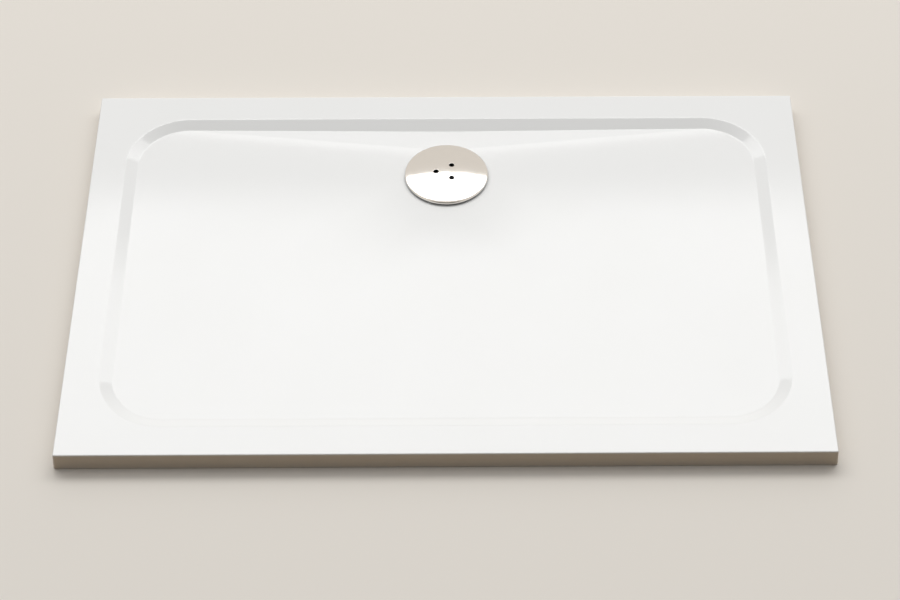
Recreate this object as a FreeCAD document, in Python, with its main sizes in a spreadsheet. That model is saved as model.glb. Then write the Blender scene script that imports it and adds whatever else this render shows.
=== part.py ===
import FreeCAD, Part
import math
import os

import Sketcher

# Rectangular shower tray of cast mineral, 1200 x 800 x 30 mm, with its 90 mm waste:
# a domed cover, a lift-out strainer and dip cup, a clamped waste flange, and a low trap
# whose outlet swivels on a ball joint.
# Millimetres, +Z up, +X along the tray, +Y towards its back edge, where the drain is.
# The origin is the centre of the tray's underside.

DRIVING_SIZES = [
    # tray
    ("tray_length", 1200.0),
    ("tray_width", 800.0),
    ("tray_height", 30.0),
    ("tray_corner_radius", 4.0),
    ("tray_edge_radius", 2.0),
    ("side_draft", 3.0),
    ("rim_width", 56.0),
    ("basin_corner_radius", 105.0),
    ("step_width", 20.0),
    ("step_depth", 6.5),
    ("step_blend_radius", 9.0),
    ("back_dip", 1.2),
    ("floor_fall", 6.0),
    ("drain_from_back", 185.0),
    ("seat_clearance", 3.0),
    ("seat_depth", 4.0),
    ("flange_overlap", 14.0),
    ("waste_recess_clearance", 1.5),
    ("waste_recess_depth", 2.0),
    # waste flange, its gasket and its screws
    ("flange_radius", 59.0),
    ("flange_thickness", 2.5),
    ("gasket_thickness", 1.5),
    ("gasket_inset", 0.5),
    ("well_clearance", 1.0),
    ("well_wall", 1.5),
    ("ledge_thickness", 2.5),
    ("collar_wall", 2.0),
    ("collar_top", 11.0),
    ("shoulder_width", 2.2),
    ("shoulder_drop", 2.5),
    ("screw_count", 4.0),
    ("screw_head_room", 0.75),
    ("screw_radius", 2.5),
    ("screw_length", 15.0),
    ("screw_head_radius", 4.25),
    ("screw_head_height", 3.2),
    ("screw_slot_width", 1.2),
    ("screw_slot_depth", 1.4),
    ("screw_clearance", 0.25),
    ("thread_clearance", 0.1),
    # dip tube, its seal and its cup
    ("sliding_clearance", 0.3),
    ("seal_clearance", 0.1),
    ("insert_wall", 2.0),
    ("insert_collar_height", 9.5),
    ("dip_tube_radius", 17.0),
    ("dip_tube_wall", 1.8),
    ("dip_tube_length", 44.5),
    ("seal_groove_depth", 1.2),
    ("seal_groove_width", 1.8),
    ("seal_groove_height", 4.0),
    ("cup_clearance", 1.3),
    ("cup_wall", 1.8),
    ("cup_floor_gap", 8.0),
    ("weir_depth", 11.5),
    ("cup_window_count", 3.0),
    ("cup_window_share", 1.4),
    # strainer
    ("strainer_wall", 1.5),
    ("strainer_rim_thickness", 2.0),
    ("strainer_rim_clearance", 0.5),
    ("strainer_floor_gap", 0.5),
    ("strainer_hole_radius", 2.0),
    ("strainer_first_ring", 9.5),
    ("strainer_ring_pitch", 6.8),
    ("strainer_hole_pitch", 7.3),
    ("strainer_knob_radius", 3.0),
    ("strainer_knob_height", 9.0),
    # cover and its carrier
    ("cover_radius", 72.0),
    ("cover_wall", 1.2),
    ("cover_edge_radius", 4.0),
    ("dome_radius", 510.0),
    ("cover_gap", 2.0),
    ("cover_hole_radius", 4.4),
    ("cover_hole_circle", 17.6),
    ("cover_hole_count", 3.0),
    ("carrier_ring_wall", 2.5),
    ("carrier_ring_height", 8.0),
    ("carrier_ring_lift", 2.0),
    ("carrier_rib_count", 4.0),
    ("carrier_rib_thickness", 2.5),
    ("carrier_rib_overlap", 1.5),
    ("carrier_foot_inset", 5.0),
    ("carrier_foot_width", 8.0),
    ("carrier_foot_relief", 1.0),
    ("carrier_glue_gap", 0.05),
    ("grip_groove_depth", 0.8),
    ("grip_groove_width", 1.2),
    ("grip_groove_height", 3.0),
    # trap body, its gasket and its inserts
    ("body_gasket_thickness", 5.0),
    ("trap_flange_lead", 1.0),
    ("trap_flange_thickness", 3.0),
    ("trap_inset", 13.0),
    ("trap_wall", 3.0),
    ("trap_depth", 59.0),
    ("trap_corner_radius", 6.0),
    ("boss_radius", 6.5),
    ("boss_height", 17.0),
    ("insert_radius", 3.8),
    ("insert_height", 10.0),
    # ball joint
    ("outlet_drop", 38.0),
    ("outlet_clearance", 16.0),
    ("horn_bore_radius", 17.0),
    ("horn_wall", 3.0),
    ("horn_length", 40.0),
    ("ball_radius", 25.0),
    ("ball_clearance", 0.3),
    ("ball_bore_radius", 16.0),
    ("ball_back", 16.0),
    ("bowl_wall", 3.0),
    ("bowl_length", 19.0),
    ("ball_seal_width", 4.0),
    ("thread_gap", 0.2),
    ("ring_nut_wall", 4.0),
    ("ring_nut_overlap", 12.0),
    ("ring_nut_shoulder", 8.0),
    ("ring_nut_lip", 15.0),
    ("ring_nut_lip_wall", 2.5),
    ("neck_radius", 18.5),
    ("neck_end", 22.0),
    # pipe socket
    ("pipe_socket_start", 26.0),
    ("pipe_socket_length", 26.0),
    ("pipe_bore_radius", 20.2),
    ("pipe_socket_wall", 3.3),
    ("pipe_seal_length", 6.0),
    ("pipe_seal_taper", 1.0),
    ("slip_ring_thickness", 1.5),
    ("pipe_nut_wall", 4.0),
    ("pipe_nut_overlap", 12.0),
    ("pipe_nut_lip", 2.5),
    ("nut_rib_count", 12.0),
    ("nut_rib_radius", 2.0),
]


class Size:
    """A length that holds its value now and the sheet expression that it comes from."""

    def __init__(self, value, text):
        self.value = float(value)
        self.text = text

    def __add__(self, other):
        other = as_size(other)
        return Size(self.value + other.value, f"({self.text} + {other.text})")

    def __sub__(self, other):
        other = as_size(other)
        return Size(self.value - other.value, f"({self.text} - {other.text})")

    def __mul__(self, other):
        other = as_size(other)
        return Size(self.value * other.value, f"({self.text} * {other.text})")

    def __truediv__(self, other):
        other = as_size(other)
        return Size(self.value / other.value, f"({self.text} / {other.text})")

    def __neg__(self):
        return Size(-self.value, f"(0 - {self.text})")

    def root(self):
        return Size(math.sqrt(self.value), f"sqrt({self.text})")


def as_size(number):
    return number if isinstance(number, Size) else Size(number, repr(float(number)))


def fill_sheet(document):
    """The spreadsheet of driving sizes, one aliased cell for each."""
    sheet = document.addObject("Spreadsheet::Sheet", "Sizes")
    for row, (alias, value) in enumerate(DRIVING_SIZES, start=1):
        sheet.set(f"A{row}", alias)
        sheet.set(f"B{row}", str(value))
        sheet.setAlias(f"B{row}", alias)
    document.recompute()
    return {alias: Size(getattr(sheet, alias), f"Sizes.{alias}") for alias, _ in DRIVING_SIZES}


doc = FreeCAD.newDocument("shower_tray")
size = fill_sheet(doc)
ZERO = as_size(0)
QUARTER_TURN = 90
DIAGONAL = 45
FULL_TURN = 360
# A distance within which an edge counts as lying in a plane.
TOUCH = 0.02
# Digits kept of a sine or cosine, so that the ones that are nought come out as nought.
EXACT_DIGITS = 12
TOWARDS_BACK = FreeCAD.Rotation(FreeCAD.Vector(1, 0, 0), -QUARTER_TURN)


# ---- helpers: sketches, revolved pieces, holes and ribs ----

def bind(item, prop, length):
    """Bind a property to the sheet, and set it at once so that later code can read it."""
    item.setExpression(prop, length.text)


def place(item, x=ZERO, y=ZERO, z=ZERO, turn=None):
    """Put an object at a place that follows the sheet, turned first if it needs it."""
    if turn:
        item.Placement = FreeCAD.Placement(FreeCAD.Vector(), turn)
    for axis, length in (("x", x), ("y", y), ("z", z)):
        bind(item, f"Placement.Base.{axis}", length)


def sketch_on(body, name, role):
    """A sketch on one of a body's own planes."""
    sketch = body.newObject("Sketcher::SketchObject", name)
    plane = next(item for item in body.Origin.OriginFeatures if item.Role == role)
    sketch.AttachmentSupport = (plane, [""])
    sketch.MapMode = "FlatFace"
    return sketch


def pin_point(sketch, edge, end, across, up):
    """Hold one end of an edge at (across, up) from the sketch's origin."""
    for kind, length, axis in (("DistanceX", across, -2), ("DistanceY", up, -1)):
        if length.value == 0:
            sketch.addConstraint(Sketcher.Constraint("PointOnObject", edge, end, axis))
        else:
            index = sketch.addConstraint(
                Sketcher.Constraint(kind, -1, 1, edge, end, length.value))
            bind(sketch, f"Constraints[{index}]", length)


class Corner:
    """One corner of an outline. arc is the radius of the run that leaves it, positive
    where the run bulges to the right of its direction, or None for a straight run."""

    def __init__(self, across, up, arc=None):
        self.across = as_size(across)
        self.up = as_size(up)
        self.arc = arc

    def point(self):
        return FreeCAD.Vector(self.across.value, self.up.value, 0)


def arc_between(first, last, radius):
    """The short arc from first to last, and whether it had to be drawn from last."""
    chord = last - first
    middle = first + chord * 0.5
    right = FreeCAD.Vector(chord.y, -chord.x, 0).normalize()
    rise = math.sqrt(radius * radius - chord.Length * chord.Length / 4)
    centre = middle - right * math.copysign(rise, radius)
    start = math.atan2(first.y - centre.y, first.x - centre.x)
    stop = math.atan2(last.y - centre.y, last.x - centre.x)
    backwards = radius < 0
    if backwards:
        start, stop = stop, start
    circle = Part.Circle(centre, FreeCAD.Vector(0, 0, 1), abs(radius))
    return Part.ArcOfCircle(circle, start, stop), backwards


def outline(sketch, corners):
    """A closed outline through the corners, each held by its own two sizes."""
    ends = []
    for index, corner in enumerate(corners):
        first = corner.point()
        last = corners[(index + 1) % len(corners)].point()
        if corner.arc is None:
            edge = sketch.addGeometry(Part.LineSegment(first, last), False)
            ends.append((edge, 1, 2))
        else:
            arc, backwards = arc_between(first, last, corner.arc.value)
            edge = sketch.addGeometry(arc, False)
            ends.append((edge, 2, 1) if backwards else (edge, 1, 2))
    for index, (edge, start, stop) in enumerate(ends):
        following, following_start, _ = ends[(index + 1) % len(ends)]
        sketch.addConstraint(
            Sketcher.Constraint("Coincident", edge, stop, following, following_start))
        pin_point(sketch, edge, start, corners[index].across, corners[index].up)
        if corners[index].arc is not None:
            radius = corners[index].arc if corners[index].arc.value > 0 else -corners[index].arc
            held = sketch.addConstraint(Sketcher.Constraint("Radius", edge, radius.value))
            bind(sketch, f"Constraints[{held}]", radius)


def new_body(name):
    """An empty body, with the name that its STEP file gets."""
    body = doc.addObject("PartDesign::Body", name)
    body.Label = name
    return body


def revolve(body, name, corners):
    """Turn an outline in the body's XZ plane about its Z axis."""
    sketch = sketch_on(body, f"{name}_outline", "XZ_Plane")
    outline(sketch, [Corner(*corner) for corner in corners])
    turned = body.newObject("PartDesign::Revolution", f"{name}_turned")
    turned.Profile = sketch
    turned.ReferenceAxis = (sketch, ["V_Axis"])
    turned.Angle = FULL_TURN
    body.Tip = turned
    return turned


def revolved(name, corners):
    """A body that is one turned outline."""
    body = new_body(name)
    revolve(body, name, corners)
    return body


def polar_copies(body, feature, name, copies):
    """The feature repeated evenly about the body's Z axis."""
    axis = next(item for item in body.Origin.OriginFeatures if item.Role == "Z_Axis")
    pattern = body.newObject("PartDesign::PolarPattern", f"{name}_pattern")
    pattern.Originals = [feature]
    pattern.Axis = (axis, [""])
    pattern.Angle = FULL_TURN
    bind(pattern, "Occurrences", copies)
    body.Tip = pattern


def pocket_through(body, sketch, name):
    """Cut a sketch right through a body, both ways."""
    pocket = body.newObject("PartDesign::Pocket", f"{name}_pocket")
    pocket.Profile = sketch
    pocket.Type = "ThroughAll"
    pocket.Midplane = True
    body.Tip = pocket
    return pocket


def ring_point(ring_radius, angle):
    """The place on a ring about the origin, at an angle in degrees."""
    turn = math.radians(angle)
    return (ring_radius * round(math.cos(turn), EXACT_DIGITS),
            ring_radius * round(math.sin(turn), EXACT_DIGITS))


def circle_at(sketch, circle_radius, ring_radius, angle):
    """A circle on a ring about the sketch's origin, at an angle in degrees."""
    across, up = ring_point(ring_radius, angle)
    circle = Part.Circle(
        FreeCAD.Vector(across.value, up.value, 0), FreeCAD.Vector(0, 0, 1), circle_radius.value)
    edge = sketch.addGeometry(circle, False)
    pin_point(sketch, edge, 3, across, up)
    held = sketch.addConstraint(Sketcher.Constraint("Radius", edge, circle_radius.value))
    bind(sketch, f"Constraints[{held}]", circle_radius)


def drill_ring(body, name, hole_radius, ring_radius, copies, angle=0):
    """Round holes right through the body, on a ring about its Z axis."""
    sketch = sketch_on(body, f"{name}_circle", "XY_Plane")
    circle_at(sketch, hole_radius, ring_radius, angle)
    polar_copies(body, pocket_through(body, sketch, name), name, copies)


def cylinder(name, radius, height, x=ZERO, y=ZERO, z=ZERO):
    """An upright cylinder whose foot is at (x, y, z)."""
    rod = doc.addObject("Part::Cylinder", name)
    bind(rod, "Radius", radius)
    bind(rod, "Height", height)
    place(rod, x, y, z)
    return rod


def sphere(name, radius, x=ZERO, y=ZERO, z=ZERO):
    """A sphere about (x, y, z)."""
    ball = doc.addObject("Part::Sphere", name)
    bind(ball, "Radius", radius)
    place(ball, x, y, z)
    return ball


def box(name, length, width, height, x, y, z):
    """A block whose lowest corner is (x, y, z)."""
    block = doc.addObject("Part::Box", name)
    bind(block, "Length", length)
    bind(block, "Width", width)
    bind(block, "Height", height)
    place(block, x, y, z)
    return block


def fused(name, pieces):
    """Several solids made one."""
    union = doc.addObject("Part::MultiFuse", name)
    union.Shapes = pieces
    union.Refine = True
    return union


def cut(name, base, tool):
    """One solid with another taken out of it."""
    result = doc.addObject("Part::Cut", name)
    result.Base = base
    result.Tool = tool
    result.Refine = True
    result.Label = name
    return result


def on_ring(name, make, ring_radius, copies, start_angle, centre_y):
    """Copies of a Part primitive on a ring about the drain's axis. make(name, x, y) makes one."""
    made = []
    for index in range(copies):
        across, up = ring_point(ring_radius, start_angle + FULL_TURN * index / copies)
        made.append(make(f"{name}_{index + 1}", across, centre_y + up))
    return made


# ---- places that several pieces share ----

half_length = size["tray_length"] / 2
half_width = size["tray_width"] / 2
top_z = size["tray_height"]
draft_inset = top_z * math.tan(math.radians(size["side_draft"].value))
drain_y = half_width - size["drain_from_back"]
basin_x = half_length - draft_inset - size["rim_width"]
basin_y = half_width - draft_inset - size["rim_width"]
step_foot_z = top_z - size["step_depth"]
floor_x = basin_x - size["step_width"]
floor_y = basin_y - size["step_width"]
floor_corner = size["basin_corner_radius"] - size["step_width"]
seat_radius = size["flange_radius"] + size["seat_clearance"]
drain_hole_radius = size["flange_radius"] - size["flange_overlap"]
trap_flange_radius = size["flange_radius"] + size["trap_flange_lead"]
trap_radius = size["flange_radius"] - size["trap_inset"]
drain_z = step_foot_z - size["floor_fall"]
seat_z = drain_z - size["seat_depth"]
flange_top_z = seat_z + size["gasket_thickness"] + size["flange_thickness"]


# ---- tray ----

def rounded_rectangle(half_x, half_y, radius, z):
    """Edges of a rounded rectangle, in order: back, back left arc, left, front left arc,
    front, front right arc, right, back right arc, each from one tangent point to the next."""
    across = half_x - radius
    along = half_y - radius
    starts = [(across, half_y), (-across, half_y), (-half_x, along), (-half_x, -along),
              (-across, -half_y), (across, -half_y), (half_x, -along), (half_x, along)]
    points = [FreeCAD.Vector(x, y, z) for x, y in starts]
    lean = radius * math.sqrt(0.5)
    middles = [(-across - lean, along + lean), (-across - lean, -along - lean),
               (across + lean, -along - lean), (across + lean, along + lean)]
    edges = []
    for index, first in enumerate(points):
        last = points[(index + 1) % len(points)]
        if index % 2:
            x, y = middles[index // 2]
            edges.append(Part.Arc(first, FreeCAD.Vector(x, y, z), last).toShape())
        else:
            edges.append(Part.LineSegment(first, last).toShape())
    return edges


def flat_face(points):
    """The flat face inside a polygon."""
    return Part.Face(Part.makePolygon(points + points[:1]))


def basin_shape():
    """The hollow of the basin: a sloped step all round, and a floor that falls to the drain.
    The floor is a flat facet from each side and a ruled one from each corner, and at the back
    two facets whose foot dips towards the middle."""
    rim = rounded_rectangle(basin_x.value, basin_y.value, size["basin_corner_radius"].value,
                            top_z.value)
    foot = rounded_rectangle(floor_x.value, floor_y.value, floor_corner.value,
                             step_foot_z.value)
    drain = (0, drain_y.value, drain_z.value)
    seat = seat_radius.value
    quarter_points = [FreeCAD.Vector(drain[0] + seat * x, drain[1] + seat * y, drain[2])
                      for x, y in ((0, 1), (-1, 0), (0, -1), (1, 0))]
    dip_run = size["back_dip"].value * size["step_width"].value / size["step_depth"].value
    dip_foot = FreeCAD.Vector(0, floor_y.value - dip_run,
                              step_foot_z.value - size["back_dip"].value)
    faces = [Part.Face(Part.Wire(rim))]
    drain_arcs = []
    for side in range(4):
        corner = 2 * side + 1
        start, stop = quarter_points[side], quarter_points[(side + 1) % 4]
        middle_angle = math.radians(QUARTER_TURN * (side + 1) + DIAGONAL)
        middle = FreeCAD.Vector(seat * math.cos(middle_angle),
                                drain[1] + seat * math.sin(middle_angle), drain[2])
        arc = Part.Arc(start, middle, stop).toShape()
        drain_arcs.append(arc)
        faces.append(Part.makeRuledSurface(rim[corner], foot[corner]))
        faces.append(Part.makeRuledSurface(foot[corner], arc))
        rim_ends = [vertex.Point for vertex in rim[2 * side].Vertexes]
        foot_ends = [vertex.Point for vertex in foot[2 * side].Vertexes]
        if side == 0:
            faces.append(flat_face([rim_ends[0], rim_ends[1], foot_ends[1], dip_foot,
                                    foot_ends[0]]))
            faces.append(flat_face([foot_ends[0], dip_foot, quarter_points[0]]))
            faces.append(flat_face([dip_foot, foot_ends[1], quarter_points[0]]))
        else:
            faces.append(flat_face([rim_ends[0], rim_ends[1], foot_ends[1], foot_ends[0]]))
            faces.append(flat_face([foot_ends[0], foot_ends[1], quarter_points[side]]))
    faces.append(Part.Face(Part.Wire(drain_arcs)))
    shell = Part.makeShell(faces)
    shell.sewShape()
    hollow = Part.Solid(shell)
    if hollow.Volume < 0:
        hollow.reverse()
    above = Part.Face(Part.Wire(rim)).extrude(FreeCAD.Vector(0, 0, size["step_depth"].value))
    return hollow.fuse(above).removeSplitter()


def edges_between(shape, low, high, test=None):
    """Numbers, from 1, of the edges that lie between two heights."""
    found = []
    for number, edge in enumerate(shape.Edges, start=1):
        bounds = edge.BoundBox
        if bounds.ZMin > low and bounds.ZMax < high and (test is None or test(edge)):
            found.append(number)
    return found


def make_tray():
    """The slab with its drafted sides, less the basin, the waste's seat and hole, and the recess
    under it for the trap's gasket."""
    slab = new_body("tray_slab")
    sketch = sketch_on(slab, "slab_outline", "XY_Plane")
    radius = size["tray_corner_radius"]
    across = half_length - radius
    along = half_width - radius
    outline(sketch, [
        Corner(across, -half_width, radius), Corner(half_length, -along),
        Corner(half_length, along, radius), Corner(across, half_width),
        Corner(-across, half_width, radius), Corner(-half_length, along),
        Corner(-half_length, -along, radius), Corner(-across, -half_width)])
    pad = slab.newObject("PartDesign::Pad", "slab_pad")
    pad.Profile = sketch
    bind(pad, "Length", top_z)
    bind(pad, "TaperAngle", -size["side_draft"])
    slab.Tip = pad
    doc.recompute()
    basin = doc.addObject("Part::Feature", "basin_hollow")
    basin.Shape = basin_shape()
    dished = cut("tray_dished", slab, basin)
    seat = cylinder("waste_seat", seat_radius, size["seat_depth"] + size["floor_fall"],
                    y=drain_y, z=seat_z)
    hole = cylinder("drain_hole", drain_hole_radius, top_z, y=drain_y)
    recess = cylinder("waste_recess", trap_flange_radius + size["waste_recess_clearance"],
                      size["waste_recess_depth"], y=drain_y)
    bored = cut("tray_bored", dished, fused("drain_tools", [seat, hole, recess]))
    doc.recompute()
    return bored


def soften(name, base, edges, radius):
    """Round the numbered edges of a solid."""
    rounded = doc.addObject("Part::Fillet", name)
    rounded.Base = base
    rounded.Edges = [(number, radius.value, radius.value) for number in edges]
    return rounded


def finish_tray(bored):
    """Blend the basin's upper edge and the tray's outer edge."""
    top = top_z.value
    half_rim = half_length.value - size["rim_width"].value / 2

    def in_basin(edge):
        """Whether an edge of the top lies round the basin."""
        return max(abs(edge.BoundBox.XMin), abs(edge.BoundBox.XMax)) < half_rim

    def on_outside(edge):
        """Whether an edge of the top lies round the tray."""
        return not in_basin(edge)

    blended = soften("tray_blended", bored,
                     edges_between(bored.Shape, top - TOUCH, top + TOUCH, in_basin),
                     size["step_blend_radius"])
    doc.recompute()
    tray = soften("tray_body", blended,
                  edges_between(blended.Shape, top - TOUCH, top + TOUCH, on_outside),
                  size["tray_edge_radius"])
    tray.Label = "tray_body"
    return tray


# ---- waste flange and what clamps it ----

well_outer = drain_hole_radius - size["well_clearance"]
well_inner = well_outer - size["well_wall"]
screw_circle = well_inner - size["screw_head_room"] - size["screw_head_radius"]
collar_radius = screw_circle - size["screw_head_radius"] - size["screw_head_room"]
collar_inner = collar_radius - size["collar_wall"]
shoulder_inner = collar_inner - size["shoulder_width"]
shoulder_z = size["collar_wall"] - size["shoulder_drop"]
screw_copies = int(size["screw_count"].value)
trap_top_z = size["waste_recess_depth"] - size["body_gasket_thickness"]


def make_waste_flange():
    """A dished plate with a well in the tray's hole, a ledge for the screws and a collar that
    takes the lift-out insert."""
    under = flange_top_z - size["flange_thickness"]
    body = revolved("waste_flange", [
        (well_inner, flange_top_z), (size["flange_radius"], flange_top_z),
        (size["flange_radius"], under), (well_outer, under),
        (well_outer, ZERO), (collar_radius, ZERO),
        (collar_radius, -size["shoulder_drop"]),
        (shoulder_inner, -size["shoulder_drop"]), (shoulder_inner, shoulder_z),
        (collar_inner, shoulder_z), (collar_inner, size["collar_top"]),
        (collar_radius, size["collar_top"]),
        (collar_radius, size["ledge_thickness"]),
        (well_inner, size["ledge_thickness"])])
    drill_ring(body, "screw_holes", size["screw_radius"] + size["screw_clearance"],
               screw_circle, size["screw_count"], DIAGONAL)
    place(body, y=drain_y)
    return body


def make_ring(name, inner, outer, low, high):
    """A flat ring about the drain."""
    body = revolved(name, [(inner, low), (outer, low), (outer, high), (inner, high)])
    place(body, y=drain_y)
    return body


def make_screw(name, x, y):
    """A slotted pan-head screw through the ledge."""
    head_top = size["ledge_thickness"] + size["screw_head_height"]
    shank_end = size["ledge_thickness"] - size["screw_length"]
    shank = cylinder(f"{name}_shank", size["screw_radius"], size["screw_length"], x, y, shank_end)
    head = cylinder(f"{name}_head", size["screw_head_radius"], size["screw_head_height"], x, y,
                    size["ledge_thickness"])
    slot = box(f"{name}_slot", size["screw_head_radius"] * 2, size["screw_slot_width"],
               size["screw_slot_depth"], x - size["screw_head_radius"],
               y - size["screw_slot_width"] / 2, head_top - size["screw_slot_depth"])
    return cut(name, fused(f"{name}_blank", [shank, head]), slot)


def make_brass_insert(name, x, y):
    """A threaded brass sleeve, moulded into a boss of the trap."""
    low = trap_top_z - size["insert_height"]
    sleeve = cylinder(f"{name}_sleeve", size["insert_radius"], size["insert_height"], x, y, low)
    bore = cylinder(f"{name}_bore", size["screw_radius"] + size["thread_clearance"],
                    size["insert_height"], x, y, low)
    return cut(name, sleeve, bore)


def grouped(name, pieces):
    """Several alike solids as one sub-part."""
    group = doc.addObject("Part::Compound", name)
    group.Links = pieces
    group.Label = name
    return group


def around_drain(name, make):
    """One piece for each of the waste's screws."""
    return on_ring(name, make, screw_circle, screw_copies, DIAGONAL, drain_y)


# ---- lift-out insert: dip tube, seal, cup ----

insert_radius = collar_inner - size["sliding_clearance"]
cup_radius = shoulder_inner - size["cup_clearance"]
insert_floor_z = shoulder_z + size["insert_wall"]
insert_top_z = shoulder_z + size["insert_collar_height"]
insert_bore = insert_radius - size["insert_wall"]
dip_end_z = shoulder_z - size["dip_tube_length"]
seal_room = size["sliding_clearance"] - size["seal_clearance"]


def make_dip_tube():
    """The insert's collar, with a groove for its seal, and the tube that dips in the cup."""
    groove_low = shoulder_z + size["seal_groove_height"]
    groove_high = groove_low + size["seal_groove_width"]
    groove_radius = insert_radius - size["seal_groove_depth"]
    tube_bore = size["dip_tube_radius"] - size["dip_tube_wall"]
    body = revolved("dip_tube", [
        (tube_bore, dip_end_z), (size["dip_tube_radius"], dip_end_z),
        (size["dip_tube_radius"], shoulder_z), (insert_radius, shoulder_z),
        (insert_radius, groove_low), (groove_radius, groove_low),
        (groove_radius, groove_high), (insert_radius, groove_high),
        (insert_radius, insert_top_z), (insert_bore, insert_top_z),
        (insert_bore, insert_floor_z), (tube_bore, insert_floor_z)])
    place(body, y=drain_y)
    return body


def make_groove_ring(name, groove_depth, outer_radius, groove_middle_z):
    """A round-section ring that fills a groove and stands just clear of the bore round it."""
    thickness = (groove_depth + seal_room) / 2
    ring = doc.addObject("Part::Torus", name)
    bind(ring, "Radius1", outer_radius - groove_depth + thickness)
    bind(ring, "Radius2", thickness)
    place(ring, y=drain_y, z=groove_middle_z)
    return ring


def make_dip_cup():
    """The cup that holds the water seal. Water leaves over the sills of its windows."""
    floor_z = dip_end_z - size["cup_floor_gap"]
    inner = cup_radius - size["cup_wall"]
    body = revolved("dip_cup", [
        (ZERO, floor_z - size["cup_wall"]), (cup_radius, floor_z - size["cup_wall"]),
        (cup_radius, shoulder_z), (inner, shoulder_z), (inner, floor_z),
        (ZERO, floor_z)])
    sketch = sketch_on(body, "window_outline", "XY_Plane")
    half = cup_radius * size["cup_window_share"] / 2
    past_wall = cup_radius + size["cup_wall"]
    outline(sketch, [Corner(ZERO, -half), Corner(past_wall, -half),
                     Corner(past_wall, half), Corner(ZERO, half)])
    window = body.newObject("PartDesign::Pocket", "window_pocket")
    window.Profile = sketch
    bind(window, "Length", size["weir_depth"] - shoulder_z)
    body.Tip = window
    polar_copies(body, window, "window", size["cup_window_count"])
    place(body, y=drain_y)
    return body


# ---- strainer ----

strainer_radius = insert_bore - size["sliding_clearance"]
strainer_bore = strainer_radius - size["strainer_wall"]
strainer_floor_z = insert_floor_z + size["strainer_floor_gap"] + size["strainer_wall"]
strainer_rim_z = insert_top_z + size["strainer_rim_thickness"]


def make_strainer():
    """A perforated basket that hangs by its rim, with a knob to lift it by."""
    under = strainer_floor_z - size["strainer_wall"]
    knob_top = strainer_floor_z + size["strainer_knob_height"]
    rim = collar_inner - size["strainer_rim_clearance"]
    body = revolved("hair_strainer", [
        (ZERO, under), (strainer_radius, under), (strainer_radius, insert_top_z),
        (rim, insert_top_z), (rim, strainer_rim_z), (strainer_bore, strainer_rim_z),
        (strainer_bore, strainer_floor_z), (size["strainer_knob_radius"], strainer_floor_z),
        (size["strainer_knob_radius"], knob_top), (ZERO, knob_top)])
    ring_radius = size["strainer_first_ring"]
    ring = 1
    while (ring_radius + size["strainer_hole_radius"]).value < strainer_bore.value:
        copies = int(math.tau * ring_radius.value / size["strainer_hole_pitch"].value)
        drill_ring(body, f"strainer_ring_{ring}", size["strainer_hole_radius"], ring_radius,
                   as_size(copies))
        ring_radius = ring_radius + size["strainer_ring_pitch"]
        ring += 1
    place(body, y=drain_y)
    return body


# ---- cover and its carrier ----

cover_base_z = drain_z + size["cover_gap"]
edge_centre = size["cover_radius"] - size["cover_edge_radius"]
centre_distance = size["dome_radius"] - size["cover_edge_radius"]
centre_rise = (centre_distance * centre_distance - edge_centre * edge_centre).root()
dome_centre_z = cover_base_z - centre_rise


def on_cover_edge(radius):
    """Where the dome meets the rolled edge, on the skin at that radius of the edge's section."""
    return (edge_centre + radius * edge_centre / centre_distance,
            cover_base_z + radius * centre_rise / centre_distance)


def make_cover():
    """A shallow pressed dome with a rolled edge and three round holes."""
    inner_dome = size["dome_radius"] - size["cover_wall"]
    inner_edge = size["cover_edge_radius"] - size["cover_wall"]
    body = revolved("waste_cover", [
        (ZERO, dome_centre_z + inner_dome, -inner_dome),
        (*on_cover_edge(inner_edge), -inner_edge),
        (edge_centre + inner_edge, cover_base_z),
        (size["cover_radius"], cover_base_z, size["cover_edge_radius"]),
        (*on_cover_edge(size["cover_edge_radius"]), size["dome_radius"]),
        (ZERO, dome_centre_z + size["dome_radius"])])
    drill_ring(body, "cover_holes", size["cover_hole_radius"], size["cover_hole_circle"],
               size["cover_hole_count"], 2 * QUARTER_TURN)
    place(body, y=drain_y)
    return body


carrier_radius = strainer_bore - size["sliding_clearance"]
carrier_low_z = strainer_floor_z + size["carrier_ring_lift"]
carrier_high_z = carrier_low_z + size["carrier_ring_height"]
grip_groove_z = carrier_low_z + size["grip_groove_height"]


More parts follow.
